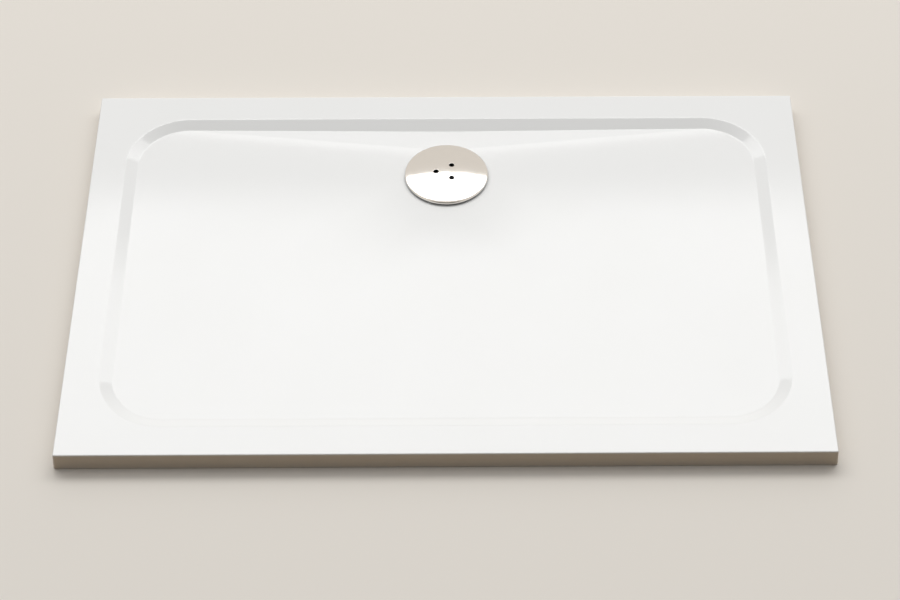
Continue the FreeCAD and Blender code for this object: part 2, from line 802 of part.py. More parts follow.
def make_carrier():
    """The moulding under the cover: a ring that plugs into the strainer, and ribs that carry the
    dome and stand on the waste flange."""
    inner = carrier_radius - size["carrier_ring_wall"]
    groove_radius = carrier_radius - size["grip_groove_depth"]
    body = new_body("cover_carrier")
    revolve(body, "carrier_ring", [
        (inner, carrier_low_z), (carrier_radius, carrier_low_z),
        (carrier_radius, grip_groove_z), (groove_radius, grip_groove_z),
        (groove_radius, grip_groove_z + size["grip_groove_width"]),
        (carrier_radius, grip_groove_z + size["grip_groove_width"]),
        (carrier_radius, carrier_high_z), (inner, carrier_high_z)])
    under_dome = size["dome_radius"] - size["cover_wall"] - size["carrier_glue_gap"]

    def dome_z(radius):
        """The height of the ribs' upper edge, just under the dome."""
        return dome_centre_z + (under_dome * under_dome - radius * radius).root()

    rib_low = carrier_high_z - size["carrier_rib_overlap"]
    rib_knee = well_inner - size["well_wall"]
    foot_outer = size["flange_radius"] - size["carrier_foot_inset"]
    foot_inner = foot_outer - size["carrier_foot_width"]
    relief_z = flange_top_z + size["carrier_foot_relief"]
    sketch = sketch_on(body, "rib_outline", "XZ_Plane")
    outline(sketch, [
        Corner(inner, rib_low), Corner(rib_knee, rib_low), Corner(rib_knee, relief_z),
        Corner(foot_inner, relief_z), Corner(foot_inner, flange_top_z),
        Corner(foot_outer, flange_top_z),
        Corner(foot_outer, dome_z(foot_outer), under_dome),
        Corner(inner, dome_z(inner))])
    rib = body.newObject("PartDesign::Pad", "rib_pad")
    rib.Profile = sketch
    rib.Midplane = True
    bind(rib, "Length", size["carrier_rib_thickness"])
    body.Tip = rib
    polar_copies(body, rib, "rib", size["carrier_rib_count"])
    place(body, y=drain_y, turn=FreeCAD.Rotation(FreeCAD.Vector(0, 0, 1), DIAGONAL))
    return body


# ---- trap body ----

trap_end_z = trap_top_z - size["trap_depth"]
ball_y = drain_y + trap_flange_radius + size["outlet_clearance"]
outlet_z = -size["outlet_drop"]
bowl_sphere = size["ball_radius"] + size["ball_clearance"]
bowl_radius = bowl_sphere + size["bowl_wall"]
bowl_end = -(size["ball_seal_width"] / 2)


def at_outlet(item):
    """Stand a piece that was made about Z on the outlet's axis, from the ball's centre."""
    place(item, y=ball_y, z=outlet_z, turn=TOWARDS_BACK)
    return item


def make_trap_body():
    """A pot that hangs under the tray, with four screw bosses and a horn that ends in the
    ball's bowl."""
    corner = size["trap_corner_radius"]
    flange_z = trap_top_z - size["trap_flange_thickness"]
    pot = revolved("pot", [
        (ZERO, trap_end_z), (trap_radius - corner, trap_end_z, corner),
        (trap_radius, trap_end_z + corner), (trap_radius, flange_z),
        (trap_flange_radius, flange_z), (trap_flange_radius, trap_top_z),
        (ZERO, trap_top_z)])
    place(pot, y=drain_y)
    inner_corner = corner - size["trap_wall"]
    cavity_radius = trap_radius - size["trap_wall"]
    cavity_z = trap_end_z + size["trap_wall"]
    cavity = revolved("pot_cavity", [
        (ZERO, cavity_z), (cavity_radius - inner_corner, cavity_z, inner_corner),
        (cavity_radius, cavity_z + inner_corner), (cavity_radius, ZERO), (ZERO, ZERO)])
    place(cavity, y=drain_y)
    horn_radius = size["horn_bore_radius"] + size["horn_wall"]
    bowl_start = bowl_end - size["bowl_length"]
    horn = at_outlet(revolved("horn", [
        (ZERO, -size["horn_length"]), (horn_radius, -size["horn_length"]),
        (horn_radius, bowl_start), (bowl_radius, bowl_start), (bowl_radius, bowl_end),
        (ZERO, bowl_end)]))
    bore = at_outlet(revolved("horn_bore", [
        (ZERO, -size["horn_length"]), (size["horn_bore_radius"], -size["horn_length"]),
        (size["horn_bore_radius"], ZERO), (ZERO, ZERO)]))
    bowl = sphere("bowl_hollow", bowl_sphere, y=ball_y, z=outlet_z)
    shell = cut("trap_shell", fused("trap_outside", [pot, horn]),
                fused("trap_inside", [cavity, bore, bowl]))

    def boss(name, x, y):
        """The boss that one screw goes into."""
        return cylinder(name, size["boss_radius"], size["boss_height"], x, y,
                        trap_top_z - size["boss_height"])

    def boss_hole(name, x, y):
        """The hole that one brass insert is moulded in."""
        return cylinder(name, size["insert_radius"], size["insert_height"], x, y,
                        trap_top_z - size["insert_height"])

    bosses = around_drain("boss", boss)
    holes = around_drain("boss_hole", boss_hole)
    return cut("trap_body", fused("trap_with_bosses", [shell, *bosses]),
               fused("boss_holes", holes))


# ---- ball joint and pipe socket, made about Z with the ball's centre as origin ----

ring_nut_bore = bowl_radius + size["thread_gap"]
ring_nut_radius = ring_nut_bore + size["ring_nut_wall"]
seal_front = size["ball_seal_width"] / 2
socket_end = size["pipe_socket_start"] + size["pipe_socket_length"]
socket_radius = size["pipe_bore_radius"] + size["pipe_socket_wall"]
slip_ring_z = socket_end + size["pipe_seal_length"]
pipe_lip_z = slip_ring_z + size["slip_ring_thickness"]


def on_sphere(radius, z):
    """The distance from the axis at which a sphere about the origin reaches height z."""
    return (radius * radius - z * z).root()


def add_grip_ribs(body, name, ring_radius, low, high):
    """Half-round ribs round a nut, for the hand."""
    sketch = sketch_on(body, f"{name}_rib_outline", "XY_Plane")
    bind(sketch, "AttachmentOffset.Base.z", low)
    circle_at(sketch, size["nut_rib_radius"], ring_radius, 0)
    rib = body.newObject("PartDesign::Pad", f"{name}_rib")
    rib.Profile = sketch
    bind(rib, "Length", high - low)
    body.Tip = rib
    polar_copies(body, rib, f"{name}_rib", size["nut_rib_count"])


def make_ring_nut():
    """The nut that screws over the bowl and holds the ball in with its lip."""
    low = bowl_end - size["ring_nut_overlap"]
    lip_radius = on_sphere(bowl_sphere, size["ring_nut_lip"])
    body = revolved("ball_nut", [
        (ring_nut_bore, low), (ring_nut_radius, low),
        (ring_nut_radius, size["ring_nut_shoulder"]),
        (lip_radius + size["ring_nut_lip_wall"], size["ring_nut_lip"]),
        (lip_radius, size["ring_nut_lip"], -bowl_sphere),
        (on_sphere(bowl_sphere, seal_front), seal_front), (ring_nut_bore, seal_front)])
    add_grip_ribs(body, "ball_nut", ring_nut_radius, low, size["ring_nut_shoulder"])
    return at_outlet(body)


def make_ball():
    """The swivelling outlet: a hollow ball, a neck and a socket for a 40 mm pipe."""
    body = revolved("outlet_ball", [
        (size["ball_bore_radius"], -size["ball_back"]),
        (on_sphere(size["ball_radius"], size["ball_back"]), -size["ball_back"],
         size["ball_radius"]),
        (size["neck_radius"], on_sphere(size["ball_radius"], size["neck_radius"])),
        (size["neck_radius"], size["neck_end"]),
        (socket_radius, size["pipe_socket_start"]), (socket_radius, socket_end),
        (size["pipe_bore_radius"], socket_end),
        (size["pipe_bore_radius"], size["pipe_socket_start"]),
        (size["ball_bore_radius"], size["pipe_socket_start"])])
    return at_outlet(body)


def make_ball_seal():
    """The rubber ring between the bowl and the ring nut, round the ball."""
    return at_outlet(revolved("ball_seal", [
        (size["ball_radius"] + size["seal_clearance"], bowl_end), (bowl_radius, bowl_end),
        (bowl_radius, seal_front), (size["ball_radius"] + size["seal_clearance"], seal_front)]))


def make_pipe_seal():
    """A tapered ring that the pipe nut squeezes on to the pipe."""
    return at_outlet(revolved("pipe_seal", [
        (size["pipe_bore_radius"], socket_end), (socket_radius, socket_end),
        (socket_radius, slip_ring_z - size["pipe_seal_taper"]),
        (socket_radius - size["pipe_seal_taper"], slip_ring_z),
        (size["pipe_bore_radius"], slip_ring_z)]))


def make_slip_ring():
    """The thin ring that lets the pipe nut turn without dragging the seal."""
    return at_outlet(revolved("slip_ring", [
        (size["pipe_bore_radius"], slip_ring_z), (socket_radius, slip_ring_z),
        (socket_radius, pipe_lip_z), (size["pipe_bore_radius"], pipe_lip_z)]))


def make_pipe_nut():
    """The nut that screws over the socket and presses the slip ring on the seal."""
    bore = socket_radius + size["thread_gap"]
    outside = bore + size["pipe_nut_wall"]
    low = socket_end - size["pipe_nut_overlap"]
    high = pipe_lip_z + size["pipe_nut_lip"]
    body = revolved("pipe_nut", [
        (bore, low), (outside, low), (outside, high), (size["pipe_bore_radius"], high),
        (size["pipe_bore_radius"], pipe_lip_z), (bore, pipe_lip_z)])
    add_grip_ribs(body, "pipe_nut", outside, low, high)
    return at_outlet(body)


# ---- the whole part ----

def check(item):
    """Stop if an object failed to build."""
    if "Invalid" in item.State or "Error" in item.State:
        raise RuntimeError(f"{item.Name} failed to build")


sub_parts = [
    finish_tray(make_tray()),
    make_waste_flange(),
    make_ring("flange_gasket", drain_hole_radius + size["gasket_inset"],
              size["flange_radius"] - size["gasket_inset"], seat_z,
              seat_z + size["gasket_thickness"]),
    grouped("flange_screws", around_drain("flange_screw", make_screw)),
    grouped("screw_inserts", around_drain("screw_insert", make_brass_insert)),
    make_ring("body_gasket", trap_radius + size["gasket_inset"],
              trap_flange_radius - size["gasket_inset"], trap_top_z,
              size["waste_recess_depth"]),
    make_trap_body(),
    make_dip_tube(),
    make_groove_ring("dip_tube_seal", size["seal_groove_depth"], insert_radius,
                     shoulder_z + size["seal_groove_height"] + size["seal_groove_width"] / 2),
    make_dip_cup(),
    make_strainer(),
    make_cover(),
    make_carrier(),
    make_groove_ring("cover_grip_ring", size["grip_groove_depth"], carrier_radius,
                     grip_groove_z + size["grip_groove_width"] / 2),
    make_ball_seal(),
    make_ring_nut(),
    make_ball(),
    make_pipe_seal(),
    make_slip_ring(),
    make_pipe_nut(),
]
doc.recompute()
for item in doc.Objects:
    check(item)
os.makedirs("parts", exist_ok=True)
for item in sub_parts:
    if item.Shape.isNull() or not item.Shape.isValid() or not item.Shape.Solids:
        raise RuntimeError(f"{item.Label} has no sound solid")
for item in sub_parts:
    item.Shape.exportStep(f"parts/{item.Label}.step")
    box_of = item.Shape.BoundBox
    print(f"{item.Label}: {len(item.Shape.Solids)} solid, {item.Shape.Volume / 1000:.1f} cm3, "
          f"z {box_of.ZMin:.2f} to {box_of.ZMax:.2f}")
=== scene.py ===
import logging
from dataclasses import dataclass
from enum import Enum
from math import acos, asin, copysign, cos, hypot, pi, radians, sin, sqrt, tan, tau
from typing import Sequence

import bmesh
import bpy
from mathutils import Matrix, Vector
from mathutils.geometry import delaunay_2d_cdt


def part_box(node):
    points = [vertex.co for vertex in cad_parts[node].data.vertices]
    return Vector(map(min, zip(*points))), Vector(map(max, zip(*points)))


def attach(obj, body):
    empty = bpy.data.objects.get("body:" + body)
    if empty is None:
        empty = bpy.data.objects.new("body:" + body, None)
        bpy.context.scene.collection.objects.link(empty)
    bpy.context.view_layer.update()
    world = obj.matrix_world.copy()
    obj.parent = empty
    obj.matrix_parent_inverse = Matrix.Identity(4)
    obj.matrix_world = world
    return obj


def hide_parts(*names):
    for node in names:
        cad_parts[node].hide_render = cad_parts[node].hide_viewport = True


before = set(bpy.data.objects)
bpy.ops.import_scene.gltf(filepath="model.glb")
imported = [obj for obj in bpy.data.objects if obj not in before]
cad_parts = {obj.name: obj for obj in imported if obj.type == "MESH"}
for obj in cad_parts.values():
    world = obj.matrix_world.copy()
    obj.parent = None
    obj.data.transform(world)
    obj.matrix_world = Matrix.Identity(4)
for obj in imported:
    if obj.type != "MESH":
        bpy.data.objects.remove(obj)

# Sizes are in millimetres and turned to Blender's metres only when a mesh is made.
MM = 0.001
# Where the drain's axis and the outlet's axis are, from the frame.
DRAIN_Y = sum(corner.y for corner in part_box("waste_cover")) / 2 / MM
BALL_Y = sum(corner.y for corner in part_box("ball_seal")) / 2 / MM
OUTLET_Z = sum(corner.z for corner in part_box("pipe_seal")) / 2 / MM
DRAIN_AXIS = Matrix.Translation((0, DRAIN_Y, 0))
OUTLET_AXIS = (Matrix.Translation((0, BALL_Y, OUTLET_Z))
               @ Matrix.Rotation(radians(-90), 4, "X"))
log = logging.getLogger("shower_tray")

Material = bpy.types.Material
Piece = bpy.types.Object
Socket = bpy.types.NodeSocket
Tree = bpy.types.NodeTree
Loop = list[Vector]
# Across, up, and how far the corner's bend reaches along each side; 0 keeps it sharp.
Corner = tuple[float, float, float]
# The sockets that carry each type of value in a Geometry Nodes tree.
SOCKETS = {float: "NodeSocketFloat", int: "NodeSocketInt", tuple: "NodeSocketVector",
           Piece: "NodeSocketObject"}
# The shares of a noise's range that most of it lies between.
NOISE_LOW, NOISE_HIGH = 0.3, 0.7
# How deep a grain of a surface is, as a share of its width.
GRAIN_DEPTH = 0.1
# Edges sharper than this many degrees stay sharp.
CREASE = 35.0
# How Geometry Nodes take one closed shape away from another.
CUT = {"operation": "DIFFERENCE", "solver": "MANIFOLD"}


def linear(hex_colour: str) -> tuple[float, float, float, float]:
    """Turn an sRGB hex colour into the linear colour that a shader takes.

    Args:
        hex_colour: six hex digits, such as "F4F2EF".

    Returns:
        Linear red, green, blue and an alpha of 1.
    """
    parts = [int(hex_colour[i:i + 2], 16) / 255 for i in (0, 2, 4)]
    red, green, blue = (p / 12.92 if p <= 0.04045 else ((p + 0.055) / 1.055) ** 2.4
                        for p in parts)
    return red, green, blue, 1.0


def add(tree: Tree, kind: str, settings: dict | None = None,
        values: dict | None = None, links: dict | None = None) -> bpy.types.Node:
    """Add one node with its settings, socket values and incoming links.

    Args:
        tree: the node tree that gets the node.
        kind: the node's type name.
        settings: attributes of the node.
        values: values of its input sockets, by name or index.
        links: output sockets that feed its inputs, by name or index, alone or in a list.

    Returns:
        The new node.
    """
    node = tree.nodes.new(kind)
    for name, value in (settings or {}).items():
        setattr(node, name, value)
    for name, value in (values or {}).items():
        node.inputs[name].default_value = value
    for name, sources in (links or {}).items():
        for source in sources if isinstance(sources, list) else [sources]:
            tree.links.new(source, node.inputs[name])
    return node


# ---- finishes ----

class Surface(Enum):
    """How a surface was made, which gives it its fine pattern."""

    SPRAYED = "sprayed"
    POLISHED = "polished"
    TURNED = "turned"
    MOULDED = "moulded"


@dataclass(frozen=True)
class Finish:
    """A finish: what the real material is and how its surface was made."""

    name: str
    surface: Surface
    colour: str
    shade: str
    roughness: float
    rough_spread: float
    grain_mm: float
    bump: float
    cloud_mm: float = 60.0
    metallic: float = 0.0
    ior: float = 1.5
    raw_below_mm: float | None = None
    raw_fade: float = 0.6
    raw_roughness: float = 0.5

    def pattern(self, tree: Tree, place: Socket) -> Socket:
        """Lay the surface's fine pattern.

        Args:
            tree: the material's node tree.
            place: the coordinates that the pattern follows.

        Returns:
            The pattern's height, from 0 to 1.
        """
        scale = 1 / (self.grain_mm * MM)
        if self.surface is Surface.TURNED:
            centred = add(tree, "ShaderNodeMapping", values={
                "Location": (0, -DRAIN_Y * MM, 0)}, links={"Vector": place})
            # The wave texture multiplies its scale by 20. The rings come 2 pi grains apart,
            # coarser than the real ones, so that they show.
            rings = add(tree, "ShaderNodeTexWave",
                        {"wave_type": "RINGS", "rings_direction": "Z"},
                        {"Scale": scale / 20, "Distortion": 1.5, "Detail": 3.0,
                         "Detail Scale": 4.0}, {"Vector": centred.outputs["Vector"]})
            return rings.outputs["Fac"]
        if self.surface is Surface.MOULDED:
            pits = add(tree, "ShaderNodeTexVoronoi", {"feature": "SMOOTH_F1"},
                       {"Scale": scale, "Smoothness": 0.7}, {"Vector": place})
            return pits.outputs["Distance"]
        if self.surface is Surface.POLISHED:
            wiped = add(tree, "ShaderNodeMapping", values={
                "Rotation": (0, 0, radians(25)), "Scale": (1.0, 0.06, 1.0)},
                links={"Vector": place})
            place = wiped.outputs["Vector"]
        grain = add(tree, "ShaderNodeTexNoise", values={
            "Scale": scale, "Detail": 3.0, "Roughness": 0.55}, links={"Vector": place})
        return grain.outputs["Fac"]

    def material(self) -> Material:
        """The finish's material, built when it is first asked for."""
        return bpy.data.materials.get(self.name) or self.build()

    def build(self) -> Material:
        """Build the finish as a node material.

        Returns:
            The material.
        """
        made = bpy.data.materials.new(self.name)
        made.use_nodes = True
        tree = made.node_tree
        tree.nodes.clear()
        place = add(tree, "ShaderNodeTexCoord").outputs["Object"]
        cloud = add(tree, "ShaderNodeTexNoise", values={
            "Scale": 1 / (self.cloud_mm * MM), "Detail": 3.0, "Roughness": 0.5},
            links={"Vector": place})
        colour = add(tree, "ShaderNodeMix", {"data_type": "RGBA"},
                     {"A": linear(self.colour), "B": linear(self.shade)},
                     {"Factor": cloud.outputs["Fac"]})
        rough = add(tree, "ShaderNodeMapRange", values={
            "From Min": NOISE_LOW, "From Max": NOISE_HIGH,
            "To Min": self.roughness - self.rough_spread,
            "To Max": self.roughness + self.rough_spread},
            links={"Value": cloud.outputs["Fac"]})
        rough_out = rough.outputs["Result"]
        if self.raw_below_mm is not None:
            height = add(tree, "ShaderNodeSeparateXYZ", links={"Vector": place})
            raw = add(tree, "ShaderNodeMapRange", values={
                "From Min": self.raw_below_mm * MM,
                "From Max": self.raw_below_mm * MM * self.raw_fade,
                "To Min": 0.0, "To Max": self.raw_roughness},
                links={"Value": height.outputs["Z"]})
            summed = add(tree, "ShaderNodeMath", {"operation": "ADD"},
                         links={0: rough_out, 1: raw.outputs["Result"]})
            rough_out = summed.outputs["Value"]
        bump = add(tree, "ShaderNodeBump", values={
            "Strength": self.bump, "Distance": self.grain_mm * GRAIN_DEPTH * MM},
            links={"Height": self.pattern(tree, place)})
        shader = add(tree, "ShaderNodeBsdfPrincipled", values={"Metallic": self.metallic},
                     links={"Base Color": colour.outputs["Result"], "Roughness": rough_out,
                            "Normal": bump.outputs["Normal"]})
        if not self.metallic:
            shader.inputs["IOR"].default_value = self.ior
        add(tree, "ShaderNodeOutputMaterial", links={"Surface": shader.outputs["BSDF"]})
        return made


# Gel coat sprayed into the mould under cast mineral: an even, deep white with a soft gloss,
# a trace of orange peel, and an underside left as it was poured.
GEL_COAT = Finish("gel_coated_cast_mineral", Surface.SPRAYED, "F7F7F6", "F4F4F2",
                  0.09, 0.01, grain_mm=2.5, bump=0.03, cloud_mm=180, raw_below_mm=0.3)
# Chromium plated on pressed brass: a mirror with a faint warm grey and wiping marks that only
# show as a slight change of gloss.
CHROME = Finish("polished_chrome_plate", Surface.POLISHED, "EDEBE9", "E6E4E2",
                0.09, 0.015, grain_mm=0.6, bump=0.004, cloud_mm=22, metallic=1.0)
# Stainless sheet spun on a lathe: fine rings round the drain that spread its highlights.
SPUN_STEEL = Finish("spun_stainless_steel", Surface.TURNED, "C9C8C6", "BFBEBB",
                    0.27, 0.04, grain_mm=0.45, bump=0.25, cloud_mm=15, metallic=1.0)
# Stainless screws, barrel polished: bright with soft worn edges.
SCREW_STEEL = Finish("barrel_polished_stainless", Surface.POLISHED, "CFCECC", "C2C1BF",
                     0.2, 0.05, grain_mm=0.5, bump=0.05, cloud_mm=4, metallic=1.0)
# Free-cutting brass as machined: dull gold inside the bosses.
BRASS = Finish("machined_brass", Surface.TURNED, "D9B46A", "C79F55",
               0.3, 0.05, grain_mm=0.4, bump=0.2, cloud_mm=5, metallic=1.0)
# Black ABS from a spark-eroded mould: satin, with a fine even grain.
BLACK_ABS = Finish("black_abs", Surface.MOULDED, "1B1B1C", "232324",
                   0.42, 0.05, grain_mm=0.35, bump=0.15, cloud_mm=12, ior=1.54)
# Moulded nitrile rubber: matt, a little dusty.
RUBBER = Finish("black_nitrile_rubber", Surface.MOULDED, "1E1E1F", "2B2B2B",
                0.72, 0.08, grain_mm=0.5, bump=0.3, cloud_mm=6, ior=1.52)
# Grey polypropylene: waxy, with flow marks that show as a slow change of tone.
GREY_PP = Finish("grey_polypropylene", Surface.MOULDED, "8B8E90", "83868A",
                 0.38, 0.05, grain_mm=0.4, bump=0.12, cloud_mm=14, ior=1.49)
# White polypropylene of the insert, smooth from a polished mould.
WHITE_PP = Finish("white_polypropylene", Surface.MOULDED, "E9EAE9", "E1E3E2",
                  0.3, 0.04, grain_mm=0.6, bump=0.05, cloud_mm=20, ior=1.49)
# Off-white polypropylene of the trap, from a plain tool with a light grain.
TRAP_PP = Finish("trap_polypropylene", Surface.MOULDED, "DDE0E0", "D3D7D7",
                 0.42, 0.05, grain_mm=0.5, bump=0.15, cloud_mm=30, ior=1.49)
# Dark grey polypropylene of the hand-tight nuts, with a coarser grain for grip.
NUT_PP = Finish("nut_polypropylene", Surface.MOULDED, "4A4E52", "42464A",
                0.46, 0.05, grain_mm=0.7, bump=0.25, cloud_mm=18, ior=1.49)


# ---- meshes ----

def spin(count: int, start: float = 0.0) -> list[tuple[float, float]]:
    """Steps round a full turn, each the cosine and sine of its angle."""
    return [(cos(start + tau * i / count), sin(start + tau * i / count)) for i in range(count)]


def circle(centre: Vector, radius: float, count: int) -> Loop:
    """Points evenly round a flat circle."""
    return [centre + radius * Vector(step) for step in spin(count)]


def bent(before: Vector, corner: Vector, after: Vector, reach: float, steps: int) -> Loop:
    """Bend a line softly at a corner.

    Args:
        before: a point on the side that comes first.
        corner: where the sides meet.
        after: a point on the next side.
        reach: how far the bend runs along each side.
        steps: how many strips it has.

    Returns:
        The bend's points.
    """
    start = corner + (before - corner).normalized() * reach
    stop = corner + (after - corner).normalized() * reach
    return [start * (1 - t) ** 2 + corner * 2 * t * (1 - t) + stop * t * t
            for t in (step / steps for step in range(steps + 1))]


def softened(corners: Sequence[Corner], closed: bool = True) -> Loop:
    """Round the corners of an outline.

    Args:
        corners: the outline's corners.
        closed: whether the last corner joins the first.

    Returns:
        The outline's points, with the height in z.
    """
    places = [Vector((across, 0, up)) for across, up, _ in corners]
    found = []
    for number, (_, _, reach) in enumerate(corners):
        if reach and (closed or 0 < number < len(corners) - 1):
            found += bent(places[number - 1], places[number],
                          places[(number + 1) % len(corners)], reach, steps=5)
        else:
            found.append(places[number])
    return found


class Skin:
    """The points and faces of a mesh while it is put together."""

    def __init__(self) -> None:
        """Start with nothing."""
        self.points: Loop = []
        self.faces: list[tuple[int, ...]] = []

    def loops(self, rows: Sequence[Sequence[Vector]], closed: bool = False) -> None:
        """Join loops of equally many points by strips of faces.

        Args:
            rows: the loops, one after another.
            closed: whether the last loop joins the first.
        """
        first, count = len(self.points), len(rows[0])
        self.points += [point for row in rows for point in row]
        for n in range(len(rows) if closed else len(rows) - 1):
            m = (n + 1) % len(rows)
            for i in range(count):
                j = (i + 1) % count
                self.faces.append((first + n * count + i, first + n * count + j,
                                   first + m * count + j, first + m * count + i))

    def patch(self, points: Sequence[Vector], faces: Sequence[Sequence[int]]) -> None:
        """Add faces with their own points.

        Args:
            points: the points.
            faces: for each face, the numbers of its points.
        """
        first = len(self.points)
        self.points += points
        self.faces += [tuple(first + i for i in face) for face in faces]

    def make(self, name: str, finish: Finish, place: Matrix = Matrix(),
             crease: float = CREASE) -> Piece:
        """Make the mesh, with its doubles merged and its faces outwards.

        Args:
            name: the piece's name.
            finish: its finish.
            place: where it stands, in millimetres.
            crease: edges sharper than this many degrees stay sharp.

        Returns:
            The object, at the origin, with its place in its mesh.
        """
        mesh = bpy.data.meshes.new(name)
        mesh.from_pydata([(place @ point) * MM for point in self.points], [], self.faces)
        mesh.materials.append(finish.material())
        work = bmesh.new()
        work.from_mesh(mesh)
        bmesh.ops.remove_doubles(work, verts=work.verts, dist=0.002 * MM)
        bmesh.ops.dissolve_degenerate(work, edges=work.edges, dist=0.0005 * MM)
        bmesh.ops.recalc_face_normals(work, faces=work.faces)
        work.to_mesh(mesh)
        work.free()
        mesh.shade_smooth()
        mesh.set_sharp_from_angle(angle=radians(crease))
        made = bpy.data.objects.new(name, mesh)
        bpy.context.scene.collection.objects.link(made)
        return made


def turned(name: str, outline: Loop, finish: Finish, place: Matrix = Matrix(),
           sides: int = 128) -> Piece:
    """Turn an outline about the upright axis, as a lathe does.

    Args:
        name: the piece's name.
        outline: a closed run of points, with the distance from the axis in x.
        finish: its finish.
        place: where the axis stands.
        sides: how many faces it has round the axis.

    Returns:
        The turned piece.
    """
    skin = Skin()
    skin.loops([[Vector((p.x * c, p.x * s, p.z)) for c, s in spin(sides)] for p in outline],
               closed=True)
    return skin.make(name, finish, place)


def smooth_copy(node: str, name: str, finish: Finish) -> Piece:
    """Copy a CAD node's mesh with its triangles merged, so that its curves shade smoothly.

    Args:
        node: the CAD node.
        name: the new piece's name.
        finish: its finish.

    Returns:
        The new piece.
    """
    skin = Skin()
    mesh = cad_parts[node].data
    skin.patch([vertex.co / MM for vertex in mesh.vertices],
               [tuple(face.vertices) for face in mesh.polygons])
    return skin.make(name, finish, crease=30.0)


class ShapeTree:
    """A Geometry Nodes tree with named inputs, which runs once on a piece."""

    def __init__(self, name: str, **inputs: float | int | tuple | Piece) -> None:
        """Start a tree.

        Args:
            name: the tree's name.
            **inputs: the value of each named input.
        """
        self.tree = bpy.data.node_groups.new(name, "GeometryNodeTree")
        self.values: dict[str, object] = {}
        sockets = self.tree.interface
        sockets.new_socket("Geometry", in_out="OUTPUT", socket_type="NodeSocketGeometry")
        sockets.new_socket("Geometry", in_out="INPUT", socket_type="NodeSocketGeometry")
        for label, value in inputs.items():
            made = sockets.new_socket(label, in_out="INPUT", socket_type=SOCKETS[type(value)])
            self.values[made.identifier] = value
        self.given = self.tree.nodes.new("NodeGroupInput").outputs

    def node(self, kind: str, settings: dict | None = None, values: dict | None = None,
             links: dict | None = None) -> bpy.types.NodeOutputs:
        """Add a node and return its outputs."""
        return add(self.tree, kind, settings, values, links).outputs

    def ring(self, item: Socket, count: Socket, radius: Socket) -> Socket:
        """Repeat a shape round a ring, each copy turned outwards.

        Args:
            item: the shape's geometry.
            count: how many copies.
            radius: the ring's radius.

        Returns:
            The instances.
        """
        points = self.node("GeometryNodeMeshCircle",
                           links={"Vertices": count, "Radius": radius})["Mesh"]
        outwards = self.node("FunctionNodeAlignRotationToVector", {"axis": "X"}, links={
            "Vector": self.node("GeometryNodeInputPosition")["Position"]})["Rotation"]
        return self.node("GeometryNodeInstanceOnPoints", links={
            "Points": points, "Instance": item, "Rotation": outwards})["Instances"]

    def run(self, piece: Piece, shape: Socket, place: Matrix) -> None:
        """Finish the tree, run it on a piece and leave the result as plain mesh.

        Args:
            piece: the object whose mesh goes in, and that gets the new one.
            shape: the geometry that comes out.
            place: where the result stands, in millimetres.
        """
        real = self.node("GeometryNodeRealizeInstances", links={"Geometry": shape})
        dressed = self.node("GeometryNodeSetMaterial",
                            values={"Material": piece.data.materials[0]},
                            links={"Geometry": real["Geometry"]})
        add(self.tree, "NodeGroupOutput", links={0: dressed["Geometry"]})
        modifier = piece.modifiers.new(self.tree.name, "NODES")
        modifier.node_group = self.tree
        for identifier, value in self.values.items():
            modifier[identifier] = value
        bpy.context.view_layer.update()
        seen = piece.evaluated_get(bpy.context.evaluated_depsgraph_get())
        mesh = bpy.data.meshes.new_from_object(seen)
        piece.modifiers.remove(modifier)
        mesh.transform(Matrix.Diagonal((MM, MM, MM, 1)) @ place
                       @ Matrix.Diagonal((1 / MM, 1 / MM, 1 / MM, 1)))
        mesh.set_sharp_from_angle(angle=radians(CREASE))
        mesh.name = piece.name
        piece.data = mesh


def seat(piece: Piece, body: str, slot: str, *nodes: str) -> None:
    """Put a piece on its body, in the place of CAD nodes, and report it.

    Args:
        piece: the finished piece.
        body: the body that it moves with.
        slot: the record's material slot, which is not used.
        *nodes: the CAD nodes that it stands for.
    """
    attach(piece, body)
    if nodes:
        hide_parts(*nodes)
    log.info("%s: %d faces on %s", piece.name, len(piece.data.polygons), body)


def dress(finish: Finish, *nodes: str) -> None:
    """Give CAD nodes that stay as they are their finish.

    Args:
        finish: the finish.
        *nodes: the CAD nodes.
    """
    for node in nodes:
        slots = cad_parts[node].data.materials
        slots.clear()
        slots.append(finish.material())
        log.info("%s: finish %s", node, finish.name)


# ---- the tray ----

